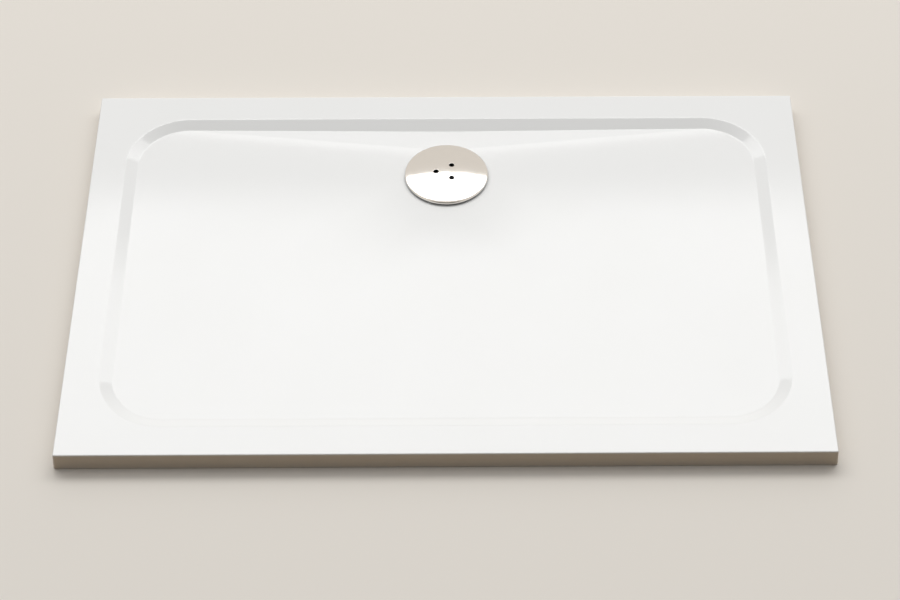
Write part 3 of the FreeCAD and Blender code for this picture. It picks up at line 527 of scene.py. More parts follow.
@dataclass
class Tray:
    """The cast tray: a drafted slab with a shallow basin that falls to the drain."""

    length: float = 1200.0
    width: float = 800.0
    height: float = 30.0
    draft: float = 3.0
    corner_radius: float = 4.0
    least_radius: float = 0.4
    edge_radius: float = 2.0
    rim: float = 56.0
    basin_corner: float = 105.0
    step_width: float = 20.0
    step_depth: float = 6.5
    blend: float = 1.45
    foot_blend_share: float = 1.1
    back_dip: float = 1.2
    floor_fall: float = 6.0
    seat_radius: float = 62.0
    seat_depth: float = 4.0
    seat_chamfer: float = 0.3
    hole_radius: float = 45.0
    hole_chamfer: float = 0.5
    recess_radius: float = 61.5
    recess_depth: float = 2.0
    recess_chamfer: float = 0.3
    # The blend at the outside's foot, as points so far in and up.
    foot_rows: tuple[tuple[float, float], ...] = (
        (6.0, 0.0), (0.6, 0.0), (0.15, 0.1), (0.03, 0.5))
    # Rows up the side, and one so far under the soft edge.
    side_rows: tuple[float, float] = (2.0, 15.0)
    under_edge: float = 1.5
    # Rows of the rim, so far inside its outer edge and outside the basin's.
    rim_rows: tuple[float, float] = (1.0, 12.0)
    basin_rows: tuple[float, float] = (10.0, 3.0)
    # Rows down the step and across the floor, as shares of the way.
    step_rows: tuple[float, ...] = (0.15, 0.3, 0.5, 0.7, 0.85)
    floor_rows: tuple[float, ...] = (0.006, 0.012, *(0.02 + 0.97 * n / 26 for n in range(27)))
    # The lip of the waste's seat, as points so far out and down.
    seat_lip: tuple[tuple[float, float], ...] = ((0.8, 0.0), (0.2, 0.15), (0.0, 0.6))
    edge_steps: int = 8
    bend_steps: int = 6
    corner_steps: int = 32
    long_steps: int = 125
    short_steps: int = 68
    # How much of a corner's steps lead up to its small outer arc, at each end.
    corner_lead: float = 0.3
    # How softly the dip along the back ends in the middle, as a share of the side.
    dip_softness: float = 0.03
    # How many steps each way smooth the ways that the drain's loops face.
    facing_reach: int = 5

    def __post_init__(self) -> None:
        """Work out the places that the loops share."""
        self.lean = tan(radians(self.draft))
        self.basin_x = self.length / 2 - self.height * self.lean - self.rim
        self.basin_y = self.width / 2 - self.height * self.lean - self.rim
        self.straight = Vector((self.basin_x - self.basin_corner,
                                self.basin_y - self.basin_corner))
        self.foot_z = self.height - self.step_depth
        self.drain_z = self.foot_z - self.floor_fall
        self.seat_z = self.drain_z - self.seat_depth

    def stations(self) -> list[tuple[float, float, float]]:
        """Where each point of a loop lies on a rounded rectangle.

        Returns:
            For each point, its share along the straight side in x and y from -1 to 1, and
            the way that it faces in degrees.
        """
        found = []
        sides = ((1, 1, -1, 1, self.long_steps), (-1, 1, -1, -1, self.short_steps),
                 (-1, -1, 1, -1, self.long_steps), (1, -1, 1, 1, self.short_steps))
        for number, (ax, ay, bx, by, count) in enumerate(sides):
            facing = 90 * (number + 1)
            found += [(ax + (bx - ax) * i / count, ay + (by - ay) * i / count, facing)
                      for i in range(count)]
            found += [(bx, by, facing + 90 * i / self.corner_steps)
                      for i in range(self.corner_steps)]
        return found

    def rounded(self, inward: float, z: float) -> Loop:
        """A loop round the basin, so far inside its upper edge."""
        radius = self.basin_corner - inward
        return [Vector((sx * self.straight.x + radius * cos(radians(facing)),
                        sy * self.straight.y + radius * sin(radians(facing)), z))
                for sx, sy, facing in self.stations()]

    def outer(self, inset: float, z: float) -> Loop:
        """A loop round the outside, whose points follow the basin's stations.

        Args:
            inset: how far it lies inside the underside's outline.
            z: its height.

        Returns:
            The loop's points.
        """
        half = Vector((self.length / 2 - inset, self.width / 2 - inset))
        radius = max(self.corner_radius - inset, self.least_radius)
        lead = self.corner_lead
        loop = []
        for sx, sy, facing in self.stations():
            turn = facing % 90
            side = (Vector((sx * self.straight.x, copysign(half.y, sy))),
                    Vector((copysign(half.x, sx), sy * self.straight.y)))
            first, last = side if int(facing // 90) % 2 else side[::-1]
            centre = Vector((sx * (half.x - radius), sy * (half.y - radius)))
            share = (turn / 90 - lead) / (1 - 2 * lead)
            angle = radians(facing - turn + 90 * min(max(share, 0.0), 1.0))
            place = centre + radius * Vector((cos(angle), sin(angle)))
            if turn == 0:
                place = first
            elif share < 0:
                place = first.lerp(place, turn / 90 / lead)
            elif share > 1:
                place = place.lerp(last, 1 - (1 - turn / 90) / lead)
            loop.append(Vector((*place, z)))
        return loop

    def foot(self) -> Loop:
        """The line where the step meets the floor, which dips along the back.

        Returns:
            The line's points.
        """
        run = self.back_dip * self.step_width / self.step_depth
        loop = self.rounded(self.step_width, self.foot_z)
        for place, (sx, _, facing) in zip(loop, self.stations()):
            if facing == 90:
                share = max(1 - hypot(sx, self.dip_softness), 0.0)
                place.y -= run * share
                place.z -= self.back_dip * share
        return loop

    def drain_loop(self, radius: float, z: float) -> Loop:
        """A loop round the drain, whose points bunch gently where the floor's facets end.

        Args:
            radius: its radius.
            z: its height.

        Returns:
            The loop's points.
        """
        facing = [turn for _, _, turn in self.stations()]
        count, reach = len(facing), self.facing_reach
        loop = []
        for i in range(count):
            near = [facing[(i + k) % count] + 360 * ((i + k) // count)
                    for k in range(-reach, reach + 1)]
            angle = radians(sum(near) / len(near))
            loop.append(Vector((radius * cos(angle), DRAIN_Y + radius * sin(angle), z)))
        return loop

    def bend(self, before: Loop, corner: Loop, after: Loop, reach: float) -> list[Loop]:
        """Loops that round the corner between two slopes, of which one loop each is given."""
        bends = [bent(*places, reach, self.bend_steps) for places in zip(before, corner, after)]
        return [list(row) for row in zip(*bends)]

    def between(self, first: Loop, last: Loop, shares: Sequence[float]) -> list[Loop]:
        """Loops at given shares of the way between two loops."""
        return [[a.lerp(b, t) for a, b in zip(first, last)] for t in shares]

    def outside(self) -> list[Loop]:
        """The loops from the underside up the drafted side and over the soft top edge.

        Returns:
            The loops.
        """
        top, r = self.height, self.edge_radius
        low = top - r
        rows = [self.outer(inset, z) for inset, z in self.foot_rows]
        rows += [self.outer(self.lean * z, z)
                 for z in (*self.side_rows, low - self.under_edge, low)]
        for n in range(1, self.edge_steps + 1):
            a = radians(90 * n / self.edge_steps)
            rows.append(self.outer(self.lean * low + r * (1 - cos(a)), low + r * sin(a)))
        return rows + [self.outer(self.lean * low + r + extra, top) for extra in self.rim_rows]

    def inside(self) -> list[Loop]:
        """The loops from the rim down the step and over the floor to the drain.

        Returns:
            The loops.
        """
        beside, near, edge = (self.rounded(-out, self.height) for out in (*self.basin_rows, 0))
        foot = self.foot()
        drain = self.drain_loop(self.seat_radius + self.seat_lip[0][0], self.drain_z)
        rows = [beside, near]
        rows += self.bend(beside, edge, foot, self.blend)
        rows += self.between(edge, foot, self.step_rows)
        rows += self.bend(edge, foot, drain, self.blend * self.foot_blend_share)
        return rows + self.between(foot, drain, self.floor_rows) + [drain]

    def drain_seat(self) -> list[Loop]:
        """The loops down the waste's seat and hole, and out over the recess under the tray.

        Returns:
            The loops.
        """
        seat_edge, hole, recess = self.seat_radius, self.hole_radius, self.recess_radius
        soft = self.recess_chamfer
        lip = [(seat_edge + out, self.drain_z - down) for out, down in self.seat_lip[1:]]
        return [self.drain_loop(radius, z) for radius, z in (
            *lip, (seat_edge, self.seat_z + self.seat_chamfer),
            (seat_edge - self.seat_chamfer, self.seat_z),
            (hole + self.hole_chamfer, self.seat_z), (hole, self.seat_z - self.hole_chamfer),
            (hole, self.recess_depth), (recess, self.recess_depth), (recess, soft),
            (recess + soft, 0.0))]

    def build(self) -> None:
        """Build the tray as one closed mesh."""
        skin = Skin()
        skin.loops(self.outside() + self.inside() + self.drain_seat(), closed=True)
        seat(skin.make("tray_shell", GEL_COAT, crease=50.0), "root", "cast_mineral", "tray_body")


# ---- what sits in the drain ----

@dataclass
class WasteCover:
    """The pressed cover: a shallow dome with a rolled edge and three holes, on its frame."""

    radius: float = 70.6
    wall: float = 1.2
    edge_radius: float = 3.0
    dome_radius: float = 440.0
    base_z: float = 20.8
    hole_radius: float = 4.6
    hole_circle: float = 17.6
    hole_count: int = 3
    hole_lip: float = 0.2
    # Rows of points so far from a hole's edge, and how near the even rows come.
    hole_rows: tuple[float, ...] = (0.0, 0.04, 0.1, 0.2, 0.5, 1.0, 1.6, 2.3)
    hole_clearance: float = 3.2
    hole_sides: int = 56
    patch_radius: float = 28.0
    around: int = 192
    spacing: float = 1.5
    dome_steps: int = 16
    edge_steps: int = 10

    def crown(self, reach: float, under: float = 0.0) -> float:
        """The dome's height.

        Args:
            reach: the distance from its axis.
            under: how far under its outer skin.

        Returns:
            The height.
        """
        from_centre = self.dome_radius - self.edge_radius
        centre_z = self.base_z - sqrt(
            from_centre ** 2 - (self.radius - self.edge_radius) ** 2)
        return centre_z + sqrt((self.dome_radius - under) ** 2 - reach ** 2)

    def holes(self) -> Loop:
        """The holes' centres."""
        return [Vector((self.hole_circle * c, self.hole_circle * s))
                for c, s in spin(self.hole_count, start=pi)]

    def gap(self, spot: Vector) -> float:
        """How far a spot is from the edge of the nearest hole, less than 0 inside it."""
        return min((spot - hole).length for hole in self.holes()) - self.hole_radius

    def lip(self, gap: float) -> float:
        """How far the skin rolls down, so far from a hole's edge."""
        inward = min(max(self.hole_lip - gap, 0.0), self.hole_lip)
        return self.hole_lip - sqrt(self.hole_lip ** 2 - inward ** 2)

    def outer_skin(self, spot: Vector) -> Vector:
        """The outer skin's point over a spot, rolled down round the holes."""
        return Vector((*spot, self.crown(spot.length) - self.lip(self.gap(spot))))

    def inner_skin(self, spot: Vector) -> Vector:
        """The inner skin's point over a spot."""
        return Vector((*spot, self.crown(spot.length, self.wall)))

    def middle(self) -> tuple[Loop, list[list[int]]]:
        """The dome's middle seen from above, with its holes.

        Returns:
            The points, and the triangles between them.
        """
        centre = Vector((0, 0))
        rings = [(centre, self.patch_radius, self.around)]
        rings += [(hole, self.hole_radius + row, self.hole_sides)
                  for hole in self.holes() for row in self.hole_rows]
        spots: Loop = []
        ties: list[tuple[int, int]] = []
        for middle, radius, count in rings:
            first = len(spots)
            spots += circle(middle, radius, count)
            ties += [(first + i, first + (i + 1) % count) for i in range(count)]
        for n in range(int(self.patch_radius / self.spacing)):
            radius = self.spacing * n
            spots += [spot for spot in circle(centre, radius, max(int(tau * n), 1))
                      if self.gap(spot) > self.hole_clearance]
        found, _, faces, *_ = delaunay_2d_cdt(spots, ties, [], 0, 1e-5)
        # A triangle inside a hole has its middle at least 0.4 % of the radius inside the edge.
        kept = [face for face in faces
                if self.gap(sum((found[i] for i in face), centre) / len(face))
                > -0.002 * self.hole_radius]
        return list(found), kept

    def edge(self) -> list[tuple[float, float]]:
        """The run from the outer skin round the rolled edge to the inner skin.

        Returns:
            Distances from the axis, with their heights.
        """
        middle = self.radius - self.edge_radius
        inner = self.edge_radius - self.wall
        slope = asin(middle / (self.dome_radius - self.edge_radius))
        way = middle + self.edge_radius * sin(slope) - self.patch_radius
        reaches = [self.patch_radius + way * n / self.dome_steps
                   for n in range(self.dome_steps + 1)]
        turns = [slope + (pi / 2 - slope) * n / self.edge_steps
                 for n in range(self.edge_steps + 1)]
        outside = [(r, self.crown(r)) for r in reaches]
        outside += [(middle + self.edge_radius * sin(a),
                     self.base_z + self.edge_radius * cos(a)) for a in turns[1:]]
        inside = [(middle + inner * sin(a), self.base_z + inner * cos(a))
                  for a in reversed(turns)]
        inside += [(r, self.crown(r, self.wall)) for r in reversed(reaches[:-2])]
        return outside + inside

    def dome(self) -> Piece:
        """Build the dome as one closed shell.

        Returns:
            The dome.
        """
        spots, faces = self.middle()
        sides = (self.outer_skin, self.inner_skin)
        skin = Skin()
        for side in sides:
            skin.patch([side(spot) for spot in spots], faces)
        skin.loops([[Vector((r * c, r * s, z)) for c, s in spin(self.around)]
                    for r, z in self.edge()])
        for hole in self.holes():
            rim = circle(hole, self.hole_radius, self.hole_sides)
            skin.loops([[side(spot) for spot in rim] for side in sides])
        return skin.make("cover_dome", CHROME, DRAIN_AXIS, crease=50.0)

    def build(self) -> None:
        """Build the dome and dress its frame and grip ring."""
        seat(self.dome(), "cover", "chromed_brass", "waste_cover")
        seat(smooth_copy("cover_carrier", "cover_frame", BLACK_ABS), "cover",
             "black_moulding", "cover_carrier")
        dress(RUBBER, "cover_grip_ring")


@dataclass
class Strainer:
    """The basket that catches hair: turned, then perforated by Geometry Nodes."""

    rim_radius: float = 30.0
    radius: float = 27.9
    wall: float = 1.5
    rim_low: float = 9.0
    rim_high: float = 11.0
    floor_high: float = 3.5
    knob_radius: float = 3.0
    knob_high: float = 12.5
    knob_head: float = 2.4
    waist_height: float = 3.0
    waist_share: float = 0.72
    hole_radius: float = 2.0
    hole_sides: int = 28
    first_ring: float = 9.5
    ring_pitch: float = 6.8
    hole_pitch: float = 7.3
    rings: int = 3
    drill_length: float = 8.0

    def outline(self) -> Loop:
        """Draw the basket with its rim and its waisted knob.

        Returns:
            Half its section, without its holes.
        """
        under, bore = self.floor_high - self.wall, self.radius - self.wall
        waist = self.knob_radius * self.waist_share
        return softened([
            (0, under, 0), (self.radius, under, 0.7), (self.radius, self.rim_low, 0.3),
            (self.rim_radius, self.rim_low, 0.4), (self.rim_radius, self.rim_high, 0.7),
            (bore, self.rim_high, 0.6), (bore, self.floor_high, 0.9),
            (self.knob_radius, self.floor_high, 0.8),
            (waist, self.floor_high + self.waist_height, 1.2),
            (self.knob_radius, self.knob_high - self.knob_head, 0.7),
            (self.knob_radius, self.knob_high, 0.9), (0, self.knob_high, 0)])

    def build(self) -> None:
        """Turn the basket, drill its rings of holes and seat it."""
        basket = turned("strainer_basket", self.outline(), GREY_PP)
        tree = ShapeTree("perforation", Hole_Radius=self.hole_radius * MM,
                         First_Ring=self.first_ring * MM, Ring_Pitch=self.ring_pitch * MM,
                         Hole_Pitch=self.hole_pitch * MM, Drill_Length=self.drill_length * MM,
                         Floor_Height=(self.floor_high - self.wall / 2) * MM)
        drill = tree.node("GeometryNodeMeshCylinder", values={"Vertices": self.hole_sides},
                          links={"Radius": tree.given["Hole_Radius"],
                                 "Depth": tree.given["Drill_Length"]})["Mesh"]
        rings = []
        for number in range(self.rings):
            radius = tree.node("ShaderNodeMath", {"operation": "MULTIPLY_ADD"}, {1: number},
                               {0: tree.given["Ring_Pitch"], 2: tree.given["First_Ring"]})
            share = tree.node("ShaderNodeMath", {"operation": "DIVIDE"}, links={
                0: radius["Value"], 1: tree.given["Hole_Pitch"]})
            round_it = tree.node("ShaderNodeMath", {"operation": "MULTIPLY"}, {1: tau},
                                 {0: share["Value"]})
            count = tree.node("ShaderNodeMath", {"operation": "FLOOR"},
                              links={0: round_it["Value"]})
            rings.append(tree.ring(drill, count["Value"], radius["Value"]))
        drills = tree.node("GeometryNodeJoinGeometry", links={0: rings})
        lift = tree.node("ShaderNodeCombineXYZ", links={"Z": tree.given["Floor_Height"]})
        placed = tree.node("GeometryNodeTransform", links={
            "Geometry": drills[0], "Translation": lift["Vector"]})
        real = tree.node("GeometryNodeRealizeInstances", links={"Geometry": placed["Geometry"]})
        holed = tree.node("GeometryNodeMeshBoolean", CUT, links={
            "Mesh 1": tree.given["Geometry"], "Mesh 2": real["Geometry"]})
        tree.run(basket, holed["Mesh"], DRAIN_AXIS)
        seat(basket, "strainer", "grey_moulding", "hair_strainer")


@dataclass
class DipInsert:
    """The lift-out insert: a collar with its seal, the dip tube, and the cup under it."""

    collar_radius: float = 30.2
    collar_bore: float = 28.2
    low: float = -0.5
    high: float = 9.0
    floor: float = 1.5
    tube_radius: float = 17.0
    tube_bore: float = 15.2
    tube_end: float = -45.0
    groove_low: float = 3.5
    groove_high: float = 5.3
    groove_depth: float = 1.2

    def outline(self) -> Loop:
        """Draw the collar and the tube, which are one piece.

        Returns:
            Half their section.
        """
        groove = self.collar_radius - self.groove_depth
        return softened([
            (self.tube_bore, self.tube_end, 0.5), (self.tube_radius, self.tube_end, 0.5),
            (self.tube_radius, self.low, 0.6), (self.collar_radius, self.low, 0.4),
            (self.collar_radius, self.groove_low, 0.15), (groove, self.groove_low, 0.15),
            (groove, self.groove_high, 0.15), (self.collar_radius, self.groove_high, 0.15),
            (self.collar_radius, self.high, 0.5), (self.collar_bore, self.high, 0.5),
            (self.collar_bore, self.floor, 0.9), (self.tube_bore, self.floor, 0.8)])

    def build(self) -> None:
        """Build the insert and dress its seal."""
        seat(turned("insert_tube", self.outline(), WHITE_PP, DRAIN_AXIS), "insert",
             "white_moulding", "dip_tube")
        seat(smooth_copy("dip_cup", "seal_cup", WHITE_PP), "insert", "white_moulding",
             "dip_cup")
        dress(RUBBER, "dip_tube_seal")


@dataclass
class WastePlate:
    """The clamped waste flange with its screws and gaskets."""

    screw_count: int = 4
    screw_sides: int = 40
    screw_circle: float = 37.5
    first_angle: float = 45.0
    ledge_high: float = 2.5
    shank_radius: float = 2.5
    neck: float = 0.9
    plain_length: float = 2.0
    tip: float = 0.6
    tip_share: float = 0.6
    thread_pitch: float = 0.8
    thread_depth: float = 0.35
    screw_length: float = 15.0
    head_radius: float = 4.25
    head_height: float = 3.2
    head_crown: float = 0.9
    crown_share: float = 0.45
    slot_width: float = 1.2
    slot_depth: float = 1.4

    def outline(self) -> Loop:
        """Draw one screw: a pan head, and a shank with its thread.

        Returns:
            Half its section, without its slot.
        """
        ledge = self.ledge_high
        top, end = ledge + self.head_height, ledge - self.screw_length
        root = self.shank_radius - self.thread_depth
        outline = [(0, end, 0), (root * self.tip_share, end, 0)]
        for n in range(int((self.screw_length - self.plain_length) / self.thread_pitch)):
            foot = end + self.tip + n * self.thread_pitch
            outline += [(root, foot, 0), (self.shank_radius, foot + self.thread_pitch / 2, 0)]
        outline += [(root, ledge - self.neck, 0), (self.shank_radius, ledge, 0),
                    (self.head_radius, ledge, 0.3),
                    (self.head_radius, top - self.head_crown, 1.1),
                    (self.head_radius * self.crown_share, top, 1.0), (0, top, 0)]
        return softened(outline)

    def screws(self) -> Piece:
        """Turn one screw, slot it and repeat it round the ledge.

        Returns:
            The four screws.
        """
        piece = turned("clamp_screws", self.outline(), SCREW_STEEL, sides=self.screw_sides)
        slot = (3 * self.head_radius, self.slot_width, 2 * self.slot_depth)
        tree = ShapeTree("ring_of_screws", Count=self.screw_count,
                         Ring_Radius=self.screw_circle * MM,
                         First_Angle=radians(self.first_angle),
                         Slot_Size=tuple(side * MM for side in slot),
                         Head_Top=(self.ledge_high + self.head_height) * MM)
        block = tree.node("GeometryNodeMeshCube", links={"Size": tree.given["Slot_Size"]})
        lift = tree.node("ShaderNodeCombineXYZ", links={"Z": tree.given["Head_Top"]})
        placed = tree.node("GeometryNodeTransform", links={
            "Geometry": block["Mesh"], "Translation": lift["Vector"]})
        slotted = tree.node("GeometryNodeMeshBoolean", CUT, links={
            "Mesh 1": tree.given["Geometry"], "Mesh 2": placed["Geometry"]})
        copies = tree.ring(slotted["Mesh"], tree.given["Count"], tree.given["Ring_Radius"])
        whole = tree.node("ShaderNodeCombineXYZ", links={"Z": tree.given["First_Angle"]})
        shape = tree.node("GeometryNodeTransform", links={
            "Geometry": copies, "Rotation": whole["Vector"]})
        tree.run(piece, shape["Geometry"], DRAIN_AXIS)
        return piece

    def build(self) -> None:
        """Build the flange and its screws, and dress what clamps them."""
        seat(smooth_copy("waste_flange", "drain_flange", SPUN_STEEL), "root",
             "pressed_stainless", "waste_flange")
        seat(self.screws(), "root", "screw_stainless", "flange_screws")
        dress(BRASS, "screw_inserts")
        dress(RUBBER, "flange_gasket", "body_gasket")


# ---- the trap and its outlet ----

@dataclass
class GripNut:
    """A hand nut about the outlet's axis, with soft ribs round it."""

    name: str
    body: str
    node: str
    outline: tuple[Corner, ...]
    rib_ring: float
    rib_low: float
    rib_high: float
    rib_radius: float = 2.0
    rib_softness: float = 0.9
    rib_sides: int = 20
    rib_count: int = 12

    def build(self) -> None:
        """Turn the nut, grow its ribs and seat it."""
        nut = turned(self.name, softened(self.outline), NUT_PP)
        end = self.rib_radius * self.rib_softness
        rib = turned(f"{self.name}_rib", softened([
            (0, self.rib_low, 0), (self.rib_radius, self.rib_low, end),
            (self.rib_radius, self.rib_high, end), (0, self.rib_high, 0)]), NUT_PP,
            sides=self.rib_sides)
        tree = ShapeTree(f"{self.name}_ribs", Rib=rib, Count=self.rib_count,
                         Ring_Radius=self.rib_ring * MM)
        shape = tree.node("GeometryNodeObjectInfo", links={"Object": tree.given["Rib"]})
        ribs = tree.ring(shape["Geometry"], tree.given["Count"], tree.given["Ring_Radius"])
        joined = tree.node("GeometryNodeJoinGeometry", links={0: [tree.given["Geometry"], ribs]})
        tree.run(nut, joined[0], OUTLET_AXIS)
        bpy.data.objects.remove(rib)
        seat(nut, self.body, "nut_plastic", self.node)


@dataclass
class Trap:
    """The pot under the tray, its ball joint and the socket for the waste pipe."""

    ball_radius: float = 25.0
    ball_back: float = 16.0
    ball_bore: float = 16.0
    ball_steps: int = 24
    neck_radius: float = 18.5
    neck_end: float = 22.0
    socket_start: float = 26.0
    socket_end: float = 52.0
    socket_radius: float = 23.5
    pipe_radius: float = 20.2
    bowl_radius: float = 28.3
    nut_play: float = 0.2
    nut_wall: float = 4.0
    ring_nut_low: float = -14.0
    ring_nut_high: float = 8.0
    # The ring nut's inner lip lies so far off the ball, at these places along the axis.
    lip_play: float = 0.3
    lip_rows: tuple[float, ...] = (15.0, 12.5, 10.0, 7.5, 5.0, 2.0)
    lip_width: float = 2.5
    pipe_nut_overlap: float = 12.0
    pipe_nut_shoulder: float = 59.5
    pipe_nut_end: float = 62.0

    def outline(self) -> Loop:
        """Draw the hollow ball with its neck and socket.

        Returns:
            Half their section.
        """
        start = -asin(self.ball_back / self.ball_radius)
        stop = acos(self.neck_radius / self.ball_radius)
        sphere = [Vector((self.ball_radius * cos(a), 0, self.ball_radius * sin(a)))
                  for a in (start + (stop - start) * n / self.ball_steps
                            for n in range(self.ball_steps + 1))]
        rest = softened([
            (self.neck_radius, sphere[-1].z, 0), (self.neck_radius, self.neck_end, 1.0),
            (self.socket_radius, self.socket_start, 1.0),
            (self.socket_radius, self.socket_end, 0.5), (self.pipe_radius, self.socket_end, 0.5),
            (self.pipe_radius, self.socket_start, 0.5), (self.ball_bore, self.socket_start, 0.8),
            (self.ball_bore, -self.ball_back, 0)], closed=False)
        return sphere + rest[1:]

    def ring_nut(self) -> None:
        """Build the ring nut over the ball, whose lip follows the ball."""
        low, high = self.ring_nut_low, self.ring_nut_high
        bore = self.bowl_radius + self.nut_play
        outside = bore + self.nut_wall
        lip = [(sqrt((self.ball_radius + self.lip_play) ** 2 - row ** 2), row, 0)
               for row in self.lip_rows]
        GripNut("ball_ring_nut", "root", "ball_nut", (
            (bore, low, 0.3), (outside, low, 0.8), (outside, high, 1.5),
            (lip[0][0] + self.lip_width, self.lip_rows[0], 0.7), *lip,
            (bore, self.lip_rows[-1], 0)), outside, low, high).build()

    def pipe_nut(self) -> None:
        """Build the nut on the socket, which holds the pipe."""
        low, high = self.socket_end - self.pipe_nut_overlap, self.pipe_nut_end
        bore = self.socket_radius + self.nut_play
        outside = bore + self.nut_wall
        GripNut("pipe_hand_nut", "outlet", "pipe_nut", (
            (bore, low, 0.3), (outside, low, 0.8), (outside, high, 1.0),
            (self.pipe_radius, high, 0.5), (self.pipe_radius, self.pipe_nut_shoulder, 0),
            (bore, self.pipe_nut_shoulder, 0)), outside, low, high).build()

    def build(self) -> None:
        """Build the trap's pieces and dress its seals."""
        seat(smooth_copy("trap_body", "trap_pot", TRAP_PP), "root", "trap_plastic",
             "trap_body")
        seat(turned("outlet_elbow", self.outline(), TRAP_PP, OUTLET_AXIS), "outlet",
             "trap_plastic", "outlet_ball")
        self.ring_nut()
        self.pipe_nut()
        dress(WHITE_PP, "slip_ring")
        dress(RUBBER, "ball_seal", "pipe_seal")


# ---- the studio ----

@dataclass(frozen=True)
class Glow:
    """A soft round part of the surround.

    Its middle rises so many degrees from the back, and past 90 it leans to the front. It
    starts and is full at two cosines of the angle from its middle.
    """

    rise: float
    starts: float
    full: float
    strength: float

    def level(self, tree: Tree) -> Socket:
        """How strong it is where a ray points.

        Args:
            tree: the world's node tree.

        Returns:
            From 0 to its strength.
        """
        ray = add(tree, "ShaderNodeTexCoord").outputs["Generated"]
        turn = radians(self.rise)
        along = add(tree, "ShaderNodeVectorMath", {"operation": "DOT_PRODUCT"},
                    {1: (0, cos(turn), sin(turn))}, {0: ray})
        return add(tree, "ShaderNodeMapRange", {"interpolation_type": "SMOOTHSTEP"}, {
            "From Min": self.starts, "From Max": self.full, "To Min": 0.0,
            "To Max": self.strength}, {"Value": along.outputs["Value"]}).outputs["Result"]


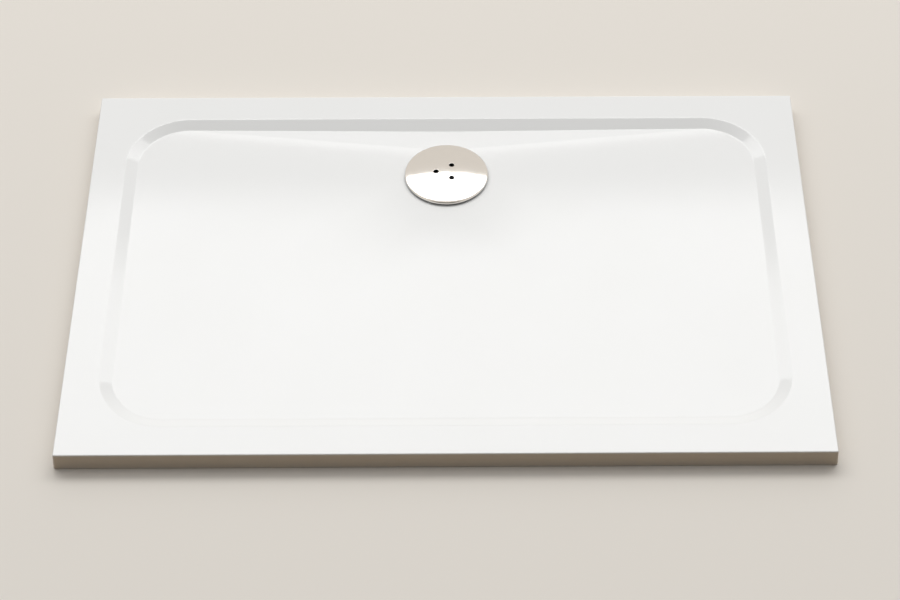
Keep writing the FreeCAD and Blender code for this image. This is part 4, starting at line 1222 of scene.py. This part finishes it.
@dataclass
class Studio:
    """The floor, the light and the camera."""

    lens_px: float = 2461.87
    frame_px: float = 900.0
    shift_px: float = 35.02
    pitch: float = 47.534
    yaw: float = -0.809
    roll: float = 0.334
    place: tuple[float, float, float] = (24.52, -2753.96, 2950.27)
    floor_shown: str = "E9E3DA"
    floor_bounce: str = "A4875C"
    floor_roughness: float = 0.7
    # The floor lies just under the tray's underside.
    floor_reach: float = 9000.0
    floor_drop: float = 0.2
    # The left, right, front and back of its opening for the trap.
    recess: tuple[float, float, float, float] = (-110.0, 110.0, 120.0, 385.0)
    backdrop: str = "E6DFD5"
    front_light: float = 0.05
    side_glow: Glow = Glow(0.0, -0.7, 0.1, 0.44)
    back_glow: Glow = Glow(50.0, 0.7, 0.95, 1.0)
    # Where glossy surfaces see less of the backdrop, and how much less.
    unlit: Glow = Glow(125.0, 0.8, 0.95, 0.88)
    # The soft box is so many degrees over the floor, and 1 is the backdrop's white.
    box_rise: float = 54.5
    box_distance: float = 6000.0
    box_size: tuple[float, float] = (12000.0, 1860.0)
    box_radiance: float = 2.8

    def camera(self) -> None:
        """Put the camera where the photograph was taken from."""
        data = bpy.data.cameras.new("camera")
        data.sensor_width = 36.0
        data.lens = self.lens_px * data.sensor_width / self.frame_px
        data.shift_x = -self.shift_px / self.frame_px
        data.clip_start, data.clip_end = 0.05, 100.0
        camera = bpy.data.objects.new("camera", data)
        bpy.context.scene.collection.objects.link(camera)
        turn = (Matrix.Rotation(radians(self.yaw), 4, "Z")
                @ Matrix.Rotation(radians(90 - self.pitch), 4, "X")
                @ Matrix.Rotation(radians(self.roll), 4, "Z"))
        camera.matrix_world = Matrix.Translation(Vector(self.place) * MM) @ turn
        bpy.context.scene.camera = camera

    def shown(self, tree: Tree) -> Socket:
        """Whether a ray is one that shows the surroundings, and not one that lights the part.

        Args:
            tree: the node tree that asks.

        Returns:
            1 for camera, glossy and transmission rays, otherwise 0.
        """
        path = add(tree, "ShaderNodeLightPath").outputs
        either = add(tree, "ShaderNodeMath", {"operation": "MAXIMUM"}, links={
            0: path["Is Camera Ray"], 1: path["Is Glossy Ray"]})
        return add(tree, "ShaderNodeMath", {"operation": "MAXIMUM"}, links={
            0: either.outputs[0], 1: path["Is Transmission Ray"]}).outputs[0]

    def floor(self) -> None:
        """Lay the plain pale floor that the tray stands on, open under it for the trap."""
        made = bpy.data.materials.new("floor_matt")
        made.use_nodes = True
        tree = made.node_tree
        colour = add(tree, "ShaderNodeMix", {"data_type": "RGBA"}, {
            "A": linear(self.floor_bounce), "B": linear(self.floor_shown)},
            {"Factor": self.shown(tree)})
        shader = tree.nodes["Principled BSDF"]
        shader.inputs["Roughness"].default_value = self.floor_roughness
        tree.links.new(colour.outputs["Result"], shader.inputs["Base Color"])
        far = self.floor_reach
        left, right, front, back = self.recess
        across, along = (-far, left, right, far), (-far, front, back, far)
        mesh = bpy.data.meshes.new("floor")
        # A grid of three squares by three, without the middle one.
        mesh.from_pydata([(x * MM, y * MM, 0) for y in along for x in across], [],
                         [(n, n + 1, n + 5, n + 4) for n in (0, 1, 2, 4, 6, 8, 9, 10)])
        mesh.materials.append(made)
        plane = bpy.data.objects.new("floor", mesh)
        plane.location.z = -self.floor_drop * MM
        bpy.context.scene.collection.objects.link(plane)

    def surround(self) -> None:
        """Light the part from the back and the sides, and dimly from the front.

        The backdrop that the camera sees is one pale colour. Glossy surfaces see it too, save
        for a dim patch where a studio is unlit, in front, that draws the edge of the chrome.
        """
        world = bpy.data.worlds.new("surround")
        bpy.context.scene.world = world
        world.use_nodes = True
        tree = world.node_tree
        tree.nodes.clear()
        both = add(tree, "ShaderNodeMath", {"operation": "ADD"}, links={
            0: self.side_glow.level(tree), 1: self.back_glow.level(tree)})
        level = add(tree, "ShaderNodeMath", {"operation": "ADD"}, {1: self.front_light},
                    {0: both.outputs[0]})
        light = add(tree, "ShaderNodeBackground", values={"Color": linear("FFFFFF")},
                    links={"Strength": level.outputs[0]})
        glossy = add(tree, "ShaderNodeLightPath").outputs["Is Glossy Ray"]
        dim = add(tree, "ShaderNodeMath", {"operation": "MULTIPLY"}, links={
            0: glossy, 1: self.unlit.level(tree)})
        shade = add(tree, "ShaderNodeMath", {"operation": "SUBTRACT"}, {0: 1.0},
                    {1: dim.outputs[0]})
        seen = add(tree, "ShaderNodeBackground", values={"Color": linear(self.backdrop)},
                   links={"Strength": shade.outputs[0]})
        either = add(tree, "ShaderNodeMixShader", links={
            0: self.shown(tree), 1: light.outputs[0], 2: seen.outputs[0]})
        add(tree, "ShaderNodeOutputWorld", links={"Surface": either.outputs[0]})

    def soft_box(self) -> None:
        """Hang the long soft box behind the tray, facing the drain."""
        lamp = bpy.data.lights.new("back_box", "AREA")
        lamp.shape = "RECTANGLE"
        width, height = (side * MM for side in self.box_size)
        lamp.size, lamp.size_y = width, height
        # A flat lamp's radiance is its power over pi and its area.
        lamp.energy = self.box_radiance * pi * width * height
        drain, rise = Vector((0, DRAIN_Y * MM, 0)), radians(self.box_rise)
        centre = drain + self.box_distance * MM * Vector((0, cos(rise), sin(rise)))
        box = bpy.data.objects.new("back_box", lamp)
        box.matrix_world = (Matrix.Translation(centre)
                            @ (centre - drain).to_track_quat("Z", "Y").to_matrix().to_4x4())
        bpy.context.scene.collection.objects.link(box)

    def build(self) -> None:
        """Set up the whole studio."""
        bpy.context.scene.view_settings.view_transform = "Standard"
        self.camera()
        self.floor()
        self.surround()
        self.soft_box()


def main() -> None:
    """Build the pieces in order."""
    logging.basicConfig(level=logging.INFO, format="%(name)s: %(message)s")
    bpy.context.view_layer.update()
    for part in (Studio, Tray, WasteCover, Strainer, DipInsert, WastePlate, Trap):
        part().build()


if __name__ == "__main__":
    main()
